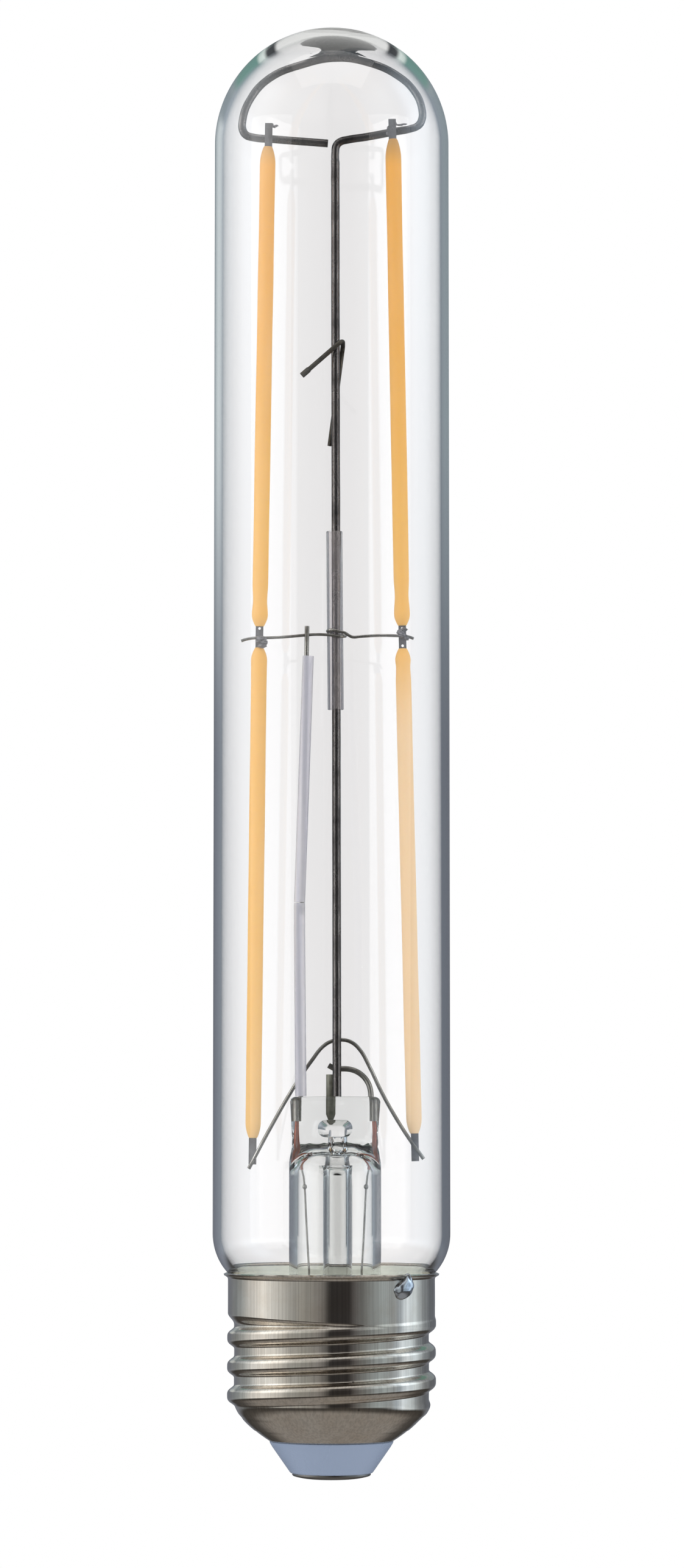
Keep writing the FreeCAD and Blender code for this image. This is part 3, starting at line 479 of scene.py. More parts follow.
stem = {
    "middle": 0.45,
    "tubeRadius": 5.8,
    "wall": 1.0,
    "flangeRadius": 11.0,
    "flangeEdge": 0.45,  # half the thickness of its rounded edge
    "flangeBend": 1.3,
    "flangeFoot": 20.687,
    "tubeFoot": 25.6,
    "shoulder": 39.3,
    "hollowEnd": 37.9,  # where the hollow starts to close
    "roof": 40.75,
    "roofShare": 0.35,  # how much of the bore is left at the roof
    "roofPower": 0.7,
    "roofFlatness": 0.12,
    "waist": 42.3,
    "top": 47.937,
    "topEdge": [(0.3, 0.1), (0.1, 0.3), (0.0, 0.6)],  # drop and inset of its rounded top
    "pressHalfWidth": 5.7,
    "waistHalfWidth": 5.35,
    "pressHalfDepth": 1.85,
    "squareness": (2.0, 3.2, 3.0),  # of the tube, the press and its top
    "wave": 0.08,
    "waveSize": 2.2,
    # most uneven where the tube was melted and pressed shut
    "meltedAt": 42.1,
    "meltedReach": 1.7,
    "meltedWave": 0.3,
    "steps": 96,
}


def ringAt(shape, halfWidth, halfDepth, z, power):
    # a closed ring between a circle (power 2) and a flattened oval
    steps = stem["steps"]
    circle = bmesh.ops.create_circle(shape, cap_ends=False, segments=steps, radius=1.0)["verts"]
    for vert in circle:
        turn = math.atan2(vert.co.y, vert.co.x)
        side, depth = math.cos(turn), math.sin(turn)
        x = math.copysign(abs(side) ** (2 / power), side) * halfWidth
        y = math.copysign(abs(depth) ** (2 / power), depth) * halfDepth
        vert.co = ((stem["middle"] + x) * mm, y * mm, z * mm)
    return list({edge for vert in circle for edge in vert.link_edges})


def skinned(shape, rings):
    loops = [ringAt(shape, *ring) for ring in rings]
    for lowerLoop, upperLoop in zip(loops, loops[1:]):
        bmesh.ops.bridge_loops(shape, edges=lowerLoop + upperLoop)
    return loops


def capLoop(shape, loop):
    bmesh.ops.contextual_create(shape, geom=loop)


def flaredTube(radius, foot, end):
    # rings of the flange's curve and of the tube above it
    flange, tubeFoot = stem["flangeRadius"] - stem["flangeBend"], stem["tubeFoot"]
    rings = []
    for step in range(9):
        turn = step / 8 * math.pi / 2
        reach = radius + (flange - radius) * (1 - math.sin(turn))
        rings.append((reach, reach, foot + (tubeFoot - foot) * (1 - math.cos(turn)), 2))
    for step in range(1, 6):
        rings.append((radius, radius, tubeFoot + (end - tubeFoot) * step / 5, 2))
    return rings


def stemRings():
    tube, waist, press = stem["tubeRadius"], stem["waistHalfWidth"], stem["pressHalfWidth"]
    depth, foot = stem["pressHalfDepth"], stem["flangeFoot"]
    shoulder, waistZ, top = stem["shoulder"], stem["waist"], stem["top"]
    tubeSquare, pressSquare, topSquare = stem["squareness"]
    edge = stem["flangeRadius"] - stem["flangeEdge"]
    rings = [(edge, edge, foot + 2 * stem["flangeEdge"], 2)]
    rings += flaredTube(tube, foot + stem["wall"], shoulder)
    for step in range(1, 9):
        share = step / 8
        ease = easeTo(share)
        deep = tube + (depth - tube) * math.sin(share * math.pi / 2) ** 1.2
        square = tubeSquare + (pressSquare - tubeSquare) * ease
        rings.append((tube + (waist - tube) * ease, deep, shoulder + (waistZ - shoulder) * share, square))
    edgeZ = top - stem["topEdge"][-1][1]
    for step in range(1, 7):
        share = step / 6
        rings.append((waist + (press - waist) * share, depth, waistZ + (edgeZ - waistZ) * share, pressSquare))
    for drop, inset in stem["topEdge"]:
        rings.append((press - inset, depth - inset, top - drop, topSquare))
    return rings


def hollowRings():
    bore, foot, end = stem["tubeRadius"] - stem["wall"], stem["flangeFoot"], stem["hollowEnd"]
    edge = stem["flangeRadius"] - stem["flangeEdge"]
    rings = [(edge, edge, foot, 2)]
    rings += flaredTube(bore, foot, end)
    for step in range(1, 9):
        turn = step / 8 * math.pi / 2
        left = stem["roofShare"] + (1 - stem["roofShare"]) * math.cos(turn) ** stem["roofPower"]
        deep = bore * left * (1 - stem["roofFlatness"] * step / 8)
        rings.append((bore * left, deep, end + (stem["roof"] - end) * math.sin(turn), 2))
    return rings


port = {
    "halfWidth": 2.4,
    "floor": 42.75,
    "roof": 45.2,
    "back": 0.5,
    "depth": 3.4,
    "round": 1.15,
    "taper": 0.62,  # how much smaller it is at its back than at its mouth
    "sag": 0.2,
    # the passage down to the exhaust tube
    "riserRadius": 1.17,
    "riserX": 0.78,
    "riserSunk": 0.4,  # how far it starts under the roof of the stem's hollow
    "riserReach": 1.0,  # and how far it reaches past the opening's floor
}


def portShape():
    # the blown opening in the front of the press
    shape = bmesh.new()
    bmesh.ops.create_cube(shape, size=1.0)
    width, height = 2 * port["halfWidth"], port["roof"] - port["floor"]
    bmesh.ops.scale(shape, vec=(width * mm, port["depth"] * mm, height * mm), verts=shape.verts)
    rounding = {"offset": port["round"] * mm, "offset_type": "OFFSET", "clamp_overlap": True}
    bmesh.ops.bevel(shape, geom=list(shape.edges), segments=8, profile=0.5, affect="EDGES", material=-1,
                    **rounding)
    for vert in shape.verts:
        inward = easeTo(vert.co.y / (port["depth"] * mm) + 0.5)
        share = 1 + (port["taper"] - 1) * inward
        vert.co.x *= share
        vert.co.z = vert.co.z * share - (1 - share) * height * port["sag"] * mm
    middle = Vector((stem["middle"], port["back"] - port["depth"] / 2, port["floor"] + height / 2)) * mm
    bmesh.ops.translate(shape, verts=shape.verts, vec=middle)
    return shape


def riserShape():
    # the passage from the opening down to the exhaust tube
    foot = stem["roof"] - port["riserSunk"]
    length = port["floor"] + port["riserReach"] - foot
    place = Matrix.Translation((port["riserX"] * mm, 0, (foot + length / 2) * mm))
    radius = port["riserRadius"] * mm
    shape = bmesh.new()
    bmesh.ops.create_cone(shape, cap_ends=True, segments=48, radius1=radius, radius2=radius,
                          depth=length * mm, matrix=place)
    return shape


def loose(shape, name):
    mesh = bpy.data.meshes.new(name)
    shape.to_mesh(mesh)
    shape.free()
    made = bpy.data.objects.new(name, mesh)
    bpy.context.scene.collection.objects.link(made)
    return made


def cutAway(shape, cutters):
    # takes the cutters out of the shape, and gives the result back as a new shape
    body = loose(shape, "cutBody")
    tools = [loose(cutter, "cutTool") for cutter in cutters]
    for tool in tools:
        change = body.modifiers.new("cut", "BOOLEAN")
        change.operation = "DIFFERENCE"
        change.solver = "EXACT"
        change.object = tool
    seen = body.evaluated_get(bpy.context.evaluated_depsgraph_get())
    result = bmesh.new()
    result.from_mesh(seen.to_mesh())
    seen.to_mesh_clear()
    for spare in [body, *tools]:
        bpy.data.objects.remove(spare)
    return result


def makeStem():
    shape = bmesh.new()
    outer = skinned(shape, stemRings())
    inner = skinned(shape, hollowRings())
    bmesh.ops.bridge_loops(shape, edges=outer[0] + inner[0])
    capLoop(shape, outer[-1])
    capLoop(shape, inner[-1])
    bmesh.ops.recalc_face_normals(shape, faces=shape.faces)
    for vert in shape.verts:
        if vert.co.z > stem["shoulder"] * mm:
            melted = max(1 - abs(vert.co.z / mm - stem["meltedAt"]) / stem["meltedReach"], 0)
            spot = vert.co / ((stem["waveSize"] - melted) * mm)
            wave = Vector([noise.noise(spot + Vector(shift)) for shift in ((0, 0, 0), (7, 0, 0), (0, 9, 0))])
            vert.co += (stem["wave"] + stem["meltedWave"] * melted) * mm * wave
    result = cutAway(shape, [portShape(), riserShape()])
    bmesh.ops.remove_doubles(result, verts=result.verts, dist=0.002 * mm)
    keep(result, "flareStem", "stemGlass", "clear_glass", "stem_flare", sharp=50)


makeStem()

exhaust = {
    "x": 0.78,
    "radius": 1.825,
    "wall": 0.65,
    "top": 40.5,
    "tip": 18.587,
    "lip": [(0.25, 0.0), (0.08, 0.4), (0.0, 1.0)],  # how far it spreads, and how far below its top
    "steps": 64,
}


def makeExhaust():
    outer, tip, top = exhaust["radius"], exhaust["tip"], exhaust["top"]
    bore = outer - exhaust["wall"]
    roundZ = tip + outer
    outline = [(bore, top)] + [(outer + reach, top - drop) for reach, drop in exhaust["lip"]]
    outline += sweep((0, roundZ), outer, 0, -90, 12)
    outline += sweep((0, roundZ), bore, -90, 0, 12)
    shape = spun(outline, exhaust["steps"], centre=(exhaust["x"], 0))
    keep(shape, "exhaustTube", "stemGlass", "clear_glass", "exhaust_tube", sharp=50)


makeExhaust()
print("stem made")


# wires, sleeves, the cement, the pieces inside the cap and the tabs: welded and smoothed copies of the solids

wires = [
    ("rodAnchor", "anchorSteel", "dull_steel", "rod_anchor"),
    ("leftLeadLower", "leadNickel", "nickel_wire", "left_lead_lower"),
    ("leftLeadUpper", "leadNickel", "nickel_wire", "left_lead_upper"),
    ("rightInnerLead", "leadNickel", "nickel_wire", "right_inner_lead"),
    ("leftSealWire", "sealCopper", "copper_clad", "left_seal_wire"),
    ("rightSealWire", "sealCopper", "copper_clad", "right_seal_wire"),
    ("leftOuterLead", "leadNickel", "nickel_wire", "left_outer_lead"),
    ("rightOuterLead", "leadNickel", "nickel_wire", "right_outer_lead"),
    ("lowerLeadSleeve", "thinSleeve", "fibre_sleeve", "lower_lead_sleeve"),
    ("upperLeadSleeve", "thinSleeve", "fibre_sleeve", "upper_lead_sleeve"),
    ("rodSleeve", "thickSleeve", "fibre_sleeve", "rod_sleeve"),
    ("getterWire", "getterSteel", "dull_steel", "getter_wire"),
    ("shellWire", "tinnedWire", "copper_clad", "shell_wire"),
    ("contactWire", "sealCopper", "copper_clad", "contact_wire"),
    ("capCement", "capCement", "cement", "cap_cement"),
    ("driverBoard", "boardGreen", "board", "driver_board"),
    ("bridgeRectifier", "blackBody", "black_plastic", "bridge_rectifier"),
    ("driverChip", "blackBody", "black_plastic", "driver_chip"),
    ("smoothingCapacitor", "drawnCan", "capacitor_can", "smoothing_capacitor"),
    ("fuseResistor", "resistorLacquer", "resistor_body", "fuse_resistor"),
]


# the rod's sleeve is slack, and flared where it was cut off at its top and bottom
sleeve = {
    "middle": 0.57,
    "wider": 1.08,
    "deeper": 1.05,
    # how far from its end it starts to flare, how much it widens, and how far it leans to the left
    "topFlare": (5.0, 0.08, 0.2),
    "footFlare": (3.0, 0.06, 0.08),
}


def slackSleeve(shape):
    low = min(vert.co.z for vert in shape.verts)
    high = max(vert.co.z for vert in shape.verts)
    topReach, topWiden, topLean = sleeve["topFlare"]
    footReach, footWiden, footLean = sleeve["footFlare"]
    middle = sleeve["middle"] * mm
    for vert in shape.verts:
        up = easeTo(1 - (high - vert.co.z) / (topReach * mm))
        down = easeTo(1 - (vert.co.z - low) / (footReach * mm))
        wider = sleeve["wider"] + topWiden * up + footWiden * down
        lean = (topLean * up + footLean * down) * mm
        vert.co.x = middle + (vert.co.x - middle) * wider - lean
        vert.co.y *= sleeve["deeper"]
    return shape


def squashedAnchor(shape, share=1.5):
    # made wider by the weld and by the press
    middle = sum((vert.co for vert in shape.verts), Vector()) / len(shape.verts)
    wider = Matrix.Diagonal((share, 1, 1, 1))
    place = Matrix.Translation(middle) @ wider @ Matrix.Translation(-middle)
    bmesh.ops.transform(shape, matrix=place, verts=shape.verts)
    return shape


reshape = {"rod_sleeve": slackSleeve, "rod_anchor": squashedAnchor}
for piece, look, slot, node in wires:
    shape = merged(node)
    if node in reshape:
        shape = reshape[node](shape)
    keep(shape, piece, look, slot, node)
for name in ("upper_left", "upper_right", "lower_left", "lower_right"):
    label = name.replace("_", "") + "Strip"
    keep(merged(name + "_strip"), label, "tabMetal", "strip_metal", name + "_strip")


def bentWire(points, radius):
    # a round wire that runs smoothly through its points
    line = bpy.data.curves.new("path", "CURVE")
    line.dimensions = "3D"
    line.resolution_u = 10
    line.bevel_depth = radius * mm
    line.bevel_resolution = 6
    line.use_fill_caps = True
    spline = line.splines.new("BEZIER")
    spline.bezier_points.add(len(points) - 1)
    for knot, place in zip(spline.bezier_points, points):
        knot.co = Vector(place) * mm
        knot.handle_left_type = "AUTO"
        knot.handle_right_type = "AUTO"
    holder = bpy.data.objects.new("path", line)
    shape = bmesh.new()
    shape.from_mesh(bpy.data.meshes.new_from_object(holder))
    bpy.data.objects.remove(holder)
    bpy.data.curves.remove(line)
    bmesh.ops.remove_doubles(shape, verts=shape.verts, dist=0.001 * mm)
    return shape


rod = {
    "radius": 0.55,
    "hoopRadius": 0.515,
    "uprightEnd": 168.0,
    "footX": 0.68,
    "footZ": 48.0,
    "lean": 0.0019,  # to the left, for each millimetre up
    "dent": 0.025,
    "dentSize": 1.6,
    # x and z of the wire's middle, from the press up and round under the dome to the free end
    "path": [
        (0.68, 47.96), (0.64, 70.0), (0.56, 110.0), (0.47, 155.0), (0.45, 167.6), (0.44, 168.9),
        (0.62, 169.95), (1.15, 170.45), (2.06, 170.68), (4.52, 171.06), (8.31, 171.77), (10.1, 172.12),
        (11.05, 172.5), (11.62, 173.3), (11.7, 174.9), (10.85, 177.05), (8.4, 179.35), (4.6, 181.0),
        (0.7, 181.55), (-3.9, 180.65), (-8.25, 178.75), (-10.7, 175.9), (-11.55, 173.2), (-11.5, 172.0),
        (-11.05, 171.3), (-10.1, 170.98), (-7.5, 170.75), (-0.5, 170.2),
    ],
}


def makeRod():
    shape = bentWire([(x, 0, z) for x, z in rod["path"]], rod["hoopRadius"])
    for vert in shape.verts:
        # the upright part is a little thicker, and the drawn wire is never quite even
        if vert.co.z < rod["uprightEnd"] * mm:
            middleX = rod["footX"] - rod["lean"] * (vert.co.z / mm - rod["footZ"])
            middle = Vector((middleX * mm, 0, vert.co.z))
            vert.co = middle + (vert.co - middle) * rod["radius"] / rod["hoopRadius"]
        spot = vert.co / (rod["dentSize"] * mm)
        shift = Vector((noise.noise(spot), noise.noise(spot + Vector((5, 0, 0))), 0))
        vert.co += rod["dent"] * mm * shift
    keep(shape, "supportRod", "rodSteel", "dull_steel", "support_rod", sharp=50)


makeRod()

cross = {
    "radius": 0.185,
    # from the left joint past the front of the sleeve, once round it, and on to the right joint
    "path": [
        (-11.52, -0.3, 105.9), (-10.92, -0.3, 106.1), (-9.94, -0.3, 106.26), (-7.96, -0.35, 106.3),
        (-5.97, -0.55, 106.38), (-3.42, -0.85, 106.57), (-1.87, -1.02, 106.65), (-0.29, -1.12, 106.57),
        (0.6, -1.12, 106.45), (1.3, -0.92, 106.42), (1.7, -0.3, 106.5), (1.65, 0.45, 106.62),
        (1.1, 1.02, 106.8), (0.4, 1.08, 106.95), (-0.25, 0.78, 107.08), (-0.52, 0.1, 107.16),
        (-0.36, -0.7, 107.22), (0.11, -1.05, 107.24), (0.9, -1.14, 107.04), (1.69, -1.05, 106.85),
        (2.25, -0.93, 106.5), (2.65, -0.88, 106.34), (3.67, -0.72, 106.42), (5.86, -0.5, 106.57),
        (8.28, -0.3, 106.56), (9.67, -0.3, 106.46), (10.46, -0.3, 106.2),
    ],
}
crossWire = bentWire(cross["path"], cross["radius"])
keep(crossWire, "crossWire", "leadNickel", "nickel_wire", "cross_wire", sharp=50)

arch = {
    "radius": 0.24,
    "y": 0.86,
    # x and z of the wire's middle, from the lower left filament to the lower right one
    "path": [
        (-10.53, 38.88), (-7.67, 44.19), (-4.66, 49.37), (-2.48, 52.59), (-0.97, 54.42), (0.12, 55.02),
        (1.35, 55.16), (2.45, 54.89), (3.54, 53.96), (4.77, 51.83), (6.27, 48.69), (8.18, 45.28),
        (10.09, 42.34), (11.73, 40.11),
    ],
}
archWire = bentWire([(x, arch["y"], z) for x, z in arch["path"]], arch["radius"])
keep(archWire, "archWire", "leadNickel", "nickel_wire", "arch_wire", sharp=50)

# weld beads: middle and half sizes of each lump
beads = {
    "leftJointWeld": [
        ((-8.9, -0.5, 106.2), (0.62, 0.32, 0.3)), ((-8.55, -0.55, 105.7), (0.4, 0.3, 0.32)),
        ((-8.8, -0.5, 105.25), (0.5, 0.28, 0.26)), ((-9.3, -0.5, 105.85), (0.36, 0.28, 0.24)),
    ],
    "rightJointWeld": [
        ((9.0, -0.5, 106.5), (0.55, 0.32, 0.3)), ((8.7, -0.55, 107.0), (0.36, 0.28, 0.4)),
        ((9.2, -0.5, 107.35), (0.42, 0.26, 0.24)), ((9.5, -0.5, 106.2), (0.36, 0.26, 0.22)),
    ],
    "topLeftWeld": [
        ((-7.9, -0.75, 172.5), (0.42, 0.22, 0.22)), ((-7.35, -0.75, 172.25), (0.34, 0.2, 0.15)),
        ((-7.05, -0.75, 172.35), (0.2, 0.16, 0.12)),
    ],
    "topRightWeld": [
        ((7.65, -0.72, 171.9), (0.55, 0.26, 0.42)), ((7.95, -0.72, 172.6), (0.4, 0.24, 0.3)),
        ((8.7, -0.7, 172.5), (0.5, 0.2, 0.13)), ((9.3, -0.65, 172.62), (0.4, 0.18, 0.1)),
        ((7.3, -0.7, 171.3), (0.3, 0.22, 0.3)),
    ],
}


def makeWeld(name, lumps):
    shape = bmesh.new()
    for place, half in lumps:
        ball = bmesh.ops.create_icosphere(shape, subdivisions=4, radius=1.0)["verts"]
        middle = Vector(place)
        for vert in ball:
            coarse = noise.noise(vert.co * 1.7 + middle)
            fine = noise.noise(vert.co * 4 + middle)
            vert.co = (middle + vert.co * Vector(half) * (1 + 0.45 * coarse + 0.2 * fine)) * mm
    keep(shape, name, "tabMetal", "strip_metal", sharp=60)


for name, lumps in beads.items():
    makeWeld(name, lumps)
print("wires made")


# filament coats

coats = {
    "radius": 1.0,
    "endRadius": 0.52,
    "steps": 40,
    "rings": 120,
    "neckEase": 2.2,
    # node, whether its end by the cross wire is the upper one, length of the outer taper and of the
    # inner one, radius of the bulge and of the neck, and how far from the inner end the neck is
    "all": [
        ("upper_left_coat", False, 2.3, 1.5, 1.03, 0.9, 3.3),
        ("upper_right_coat", False, 2.6, 1.5, 1.02, 0.89, 3.9),
        ("lower_left_coat", True, 2.0, 1.6, 1.04, 1.02, 3.0),
        ("lower_right_coat", True, 2.0, 1.5, 1.0, 0.92, 2.3),
    ],
}


def coatRadius(fromOuter, fromInner, outerTaper, innerTaper, bulge, neck, neckAt):
    # swelling from the outer end, and a short taper, a bulge and a neck at the end by the cross wire
    full, small = coats["radius"], coats["endRadius"]
    if fromInner < innerTaper:
        return small + (bulge - small) * math.sin(fromInner / innerTaper * math.pi / 2) ** 0.9
    if fromInner < neckAt:
        return bulge + (neck - bulge) * easeTo((fromInner - innerTaper) / (neckAt - innerTaper))
    if fromInner < neckAt + coats["neckEase"]:
        return neck + (full - neck) * easeTo((fromInner - neckAt) / coats["neckEase"])
    if fromOuter < outerTaper:
        return small + (full - small) * math.sin(fromOuter / outerTaper * math.pi / 2) ** 0.8
    return full


def makeCoat(node, innerUp, *form):
    low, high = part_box(node)
    solid = merged(node)
    ends = []
    for top in (False, True):
        limit = high[2] - 0.3 * mm if top else low[2] + 0.3 * mm
        near = [v.co for v in solid.verts if (v.co.z > limit if top else v.co.z < limit)]
        ends.append(sum(near, Vector()) / len(near))
    solid.free()
    axis = ends[1] - ends[0]
    length = axis.length / mm
    outline = [(0, 0)]
    for step in range(coats["rings"] + 1):
        along = (1 - math.cos(math.pi * step / coats["rings"])) / 2 * length
        fromInner = length - along if innerUp else along
        outline.append((coatRadius(length - fromInner, fromInner, *form), along))
    outline.append((0, length))
    shape = spun(outline, coats["steps"], closed=False)
    for vert in shape.verts:
        # hand-poured silicone: slightly uneven along its length
        spot = Vector((len(node) + low[0] / mm, vert.co.z / (9 * mm), vert.co.x / (3 * mm)))
        wobble = 1 + 0.03 * noise.noise(spot)
        vert.co.x *= wobble
        vert.co.y *= wobble
    turn = axis.to_track_quat("Z", "Y").to_matrix().to_4x4()
    bmesh.ops.transform(shape, matrix=Matrix.Translation(ends[0]) @ turn, verts=shape.verts)
    words = node.split("_")
    keep(shape, words[0] + words[1].title() + "Coat", "amberCoat", "amber_silicone", node, sharp=60)


for coat in coats["all"]:
    makeCoat(*coat)
print("filaments made")


# screw cap with its rolled thread

cap = {
    "sheet": 0.3,
    "rimRadius": 13.6,
    "rimTop": 25.687,
    "rimBend": 0.4,
    "rimWave": 0.1,
    "skirtRadius": 13.05,
    "rootRadius": 12.2,
    "threadTop": 21.6,
    "bowlTop": 9.6,
    "bowlPower": 1.72,
    "foot": 4.75,
    "mouthRadius": 7.85,
    "lipRadius": 6.2,
    "formed": (6.0, 21.65),  # the thread and the skirt's foot lie between these heights
    "threadDepth": 0.95,
    "pitch": 3.629,
    "crestAtRight": 12.22,
    "crestHalfWidth": 1.42,
    "crestPower": 1.75,
    "crestEnd": (10.2, 7.4),  # the lowest crest runs out between these heights
    "highestCrest": 20.4,
    "skirtFootMiddle": 19.4,
    "skirtFootTilt": 0.63,  # the skirt reaches lower on the right than on the left
    "skirtSlope": (1.1, 0.35),
    "fillet": 0.3,  # where the highest ridge runs into the skirt
    "creaseAt": 7.75,
    "creaseReach": 0.35,
    "creaseDepth": 0.06,
    "dent": 0.03,
    "dentSize": 5.0,
    "steps": 192,
}


def capOutline():
    # outer line of the sheet from the rim down to the lip, without the thread
    rim, rimTop, bend = cap["rimRadius"], cap["rimTop"], cap["rimBend"]
    skirt, root, mouth = cap["skirtRadius"], cap["rootRadius"], cap["mouthRadius"]
    threadTop, bowlTop, foot = cap["threadTop"], cap["bowlTop"], cap["foot"]
    top = rimTop - 0.3 - bend
    line = [(rim, rimTop - 0.02), (rim - 0.1, rimTop - 0.22), (skirt + 0.28, rimTop - 0.28)]
    line += sweep((skirt + bend, top), bend, 105, 180, 6)
    line += [(skirt, top + (threadTop - top) * step / 15) for step in range(1, 16)]
    line += [(root, threadTop + (bowlTop - threadTop) * step / 110) for step in range(1, 111)]
    fall = bowlTop - foot - 0.04
    for step in range(1, 41):
        share = step / 40
        line.append((root - (root - mouth) * share ** cap["bowlPower"], bowlTop - fall * share))
    return line + [(mouth - 0.2, foot), (cap["lipRadius"], foot)]


def threadLift(turn, z):
    # how far the ridge stands out at an angle and height
    lead = cap["crestAtRight"] + cap["pitch"] * turn / math.tau
    nearest = lead + cap["pitch"] * round((z - lead) / cap["pitch"])
    off = abs(z - nearest) / cap["crestHalfWidth"]
    if off >= 1 or nearest > cap["highestCrest"]:
        return 0.0
    full, end = cap["crestEnd"]
    fade = easeTo((nearest - end) / (full - end))
    return cap["threadDepth"] * fade * (0.5 + 0.5 * math.cos(math.pi * off ** cap["crestPower"]))


def skirtLift(turn, z):
    foot = cap["skirtFootMiddle"] - cap["skirtFootTilt"] * math.cos(turn)
    slope = cap["skirtSlope"][0] - cap["skirtSlope"][1] * math.cos(turn)
    return (cap["skirtRadius"] - cap["rootRadius"]) * easeTo((z - foot) / slope + 0.5)


def capLift(turn, z, radius):
    # how far the sheet stands out from its plain outline
    lift = 0.0
    low, high = cap["formed"]
    if low < z < high and radius < cap["rootRadius"] + 0.1:
        ridge, skirt = threadLift(turn, z), skirtLift(turn, z)
        blend = max(cap["fillet"] - abs(ridge - skirt), 0) / cap["fillet"]
        lift = max(ridge, skirt) + blend * blend * cap["fillet"] / 4
        crease = min(abs(z - cap["creaseAt"]) / cap["creaseReach"], 1)
        lift -= cap["creaseDepth"] * (1 - crease * crease) ** 2
    if z > cap["rimTop"] - 0.35 and radius > cap["skirtRadius"] + 0.2:
        lift += cap["rimWave"] * noise.noise(Vector((math.cos(turn) * 3, math.sin(turn) * 3, 0)))
    return lift


def makeCap():
    shape = spun(capOutline(), cap["steps"], closed=False)
    for vert in shape.verts:
        radius = math.hypot(vert.co.x, vert.co.y) / mm
        lift = capLift(math.atan2(vert.co.y, vert.co.x), vert.co.z / mm, radius)
        lift += cap["dent"] * noise.noise(vert.co / (cap["dentSize"] * mm))
        vert.co.x *= 1 + lift / radius
        vert.co.y *= 1 + lift / radius
    bmesh.ops.recalc_face_normals(shape, faces=shape.faces)
    level = Vector((1, 1, 0))
    outward = sum(1 for face in shape.faces if face.normal.dot(face.calc_center_median() * level) > 0)
    if outward < len(shape.faces) / 2:
        bmesh.ops.reverse_faces(shape, faces=shape.faces)
    bmesh.ops.solidify(shape, geom=shape.faces, thickness=cap["sheet"] * mm)
    keep(shape, "screwCap", "capNickel", "nickel_plate", "screw_cap", sharp=50)


makeCap()

insulator = {
    "top": 6.55,
    "collar": 7.4,
    "lip": 6.2,
    "sheet": 0.3,
    "mouth": 7.8,
    "cone": 4.75,
    "foot": 5.2,
    "footZ": 0.7,
    "bore": 1.1,
}


def makeInsulator():
    bore, foot, footZ = insulator["bore"], insulator["foot"], insulator["footZ"]
    mouth, cone, lip = insulator["mouth"], insulator["cone"], insulator["lip"]
    collar, top, shelf = insulator["collar"], insulator["top"], cone + insulator["sheet"]
    outline = [(bore, footZ), (foot - 0.25, footZ), (foot - 0.06, footZ + 0.06), (foot + 0.08, footZ + 0.2)]
    outline += [(mouth - 0.35, cone - 0.75), (mouth - 0.05, cone - 0.25), (mouth, cone - 0.1)]
    outline += [(mouth - 0.1, cone), (lip, cone), (lip, shelf), (collar, shelf), (collar, top), (bore, top)]
    keep(spun(outline, 96), "capInsulator", "insulatorGlaze", "insulator", "cap_insulator", sharp=35)


makeInsulator()

contact = {
    "radius": 4.95,
    "depth": 0.7,
    "sheet": 0.3,
    "land": 2.3,
    "dish": 0.42,  # how far the sheet has risen at its edge
    "edge": 0.15,
    "shank": 1.1,
    "bore": 0.3,
    "shankTop": 5.3,
}


def makeContact():
    radius, depth, sheet, land = contact["radius"], contact["depth"], contact["sheet"], contact["land"]
    shank, bore, shankTop = contact["shank"], contact["bore"], contact["shankTop"]
    outline = [(0, 0)]
    for step in range(10):
        out = (radius - contact["edge"] - land) * step / 9
        outline.append((land + out, contact["dish"] * (out / (radius - land)) ** 2))
    outline += [(radius, 0.5), (radius, depth), (radius - sheet, depth), (land, sheet), (shank, sheet)]
    outline += [(shank, shankTop), (bore, shankTop), (bore, sheet), (0, sheet)]
    keep(spun(outline, 96), "centreContact", "contactNickel", "nickel_plate", "centre_contact", sharp=40)


makeContact()

drop = {
    "turn": -46.0,
    "radius": 13.0,
    "low": 22.75,
    "high": 25.95,
    "width": 3.1,
    "depth": 1.0,
    "lean": 0.496,
    "narrowing": 0.42,  # how much narrower it is at its top
    "rough": 0.14,
}


def makeSolder():
    # a drop that hangs from the rim, narrow where it leaves it and bent to one side
    shape = bmesh.new()
    bmesh.ops.create_uvsphere(shape, u_segments=48, v_segments=40, radius=1.0)
    middle = (drop["low"] + drop["high"]) / 2
    half = (drop["high"] - drop["low"]) / 2
    for vert in shape.verts:
        x, y, z = vert.co
        rough = 1 + drop["rough"] * noise.noise(vert.co * 1.9 + Vector((3, 1, 5)))
        halfWidth = drop["width"] / 2 * (1 - drop["narrowing"] * easeTo(z + 0.25))
        across = y * halfWidth * rough + drop["lean"] * (z - 0.1)
        vert.co = Vector((x * drop["depth"] * rough, across, z * half * (1 + 0.04 * rough) + middle))
    bmesh.ops.scale(shape, vec=(mm, mm, mm), verts=shape.verts)
    turn = Matrix.Rotation(math.radians(drop["turn"]), 4, "Z")
    place = turn @ Matrix.Translation((drop["radius"] * mm, 0, 0))
    bmesh.ops.transform(shape, matrix=place, verts=shape.verts)
    keep(shape, "shellSolder", "brightSolder", "solder", "shell_solder")


makeSolder()
print("cap made")


# floor, light and camera

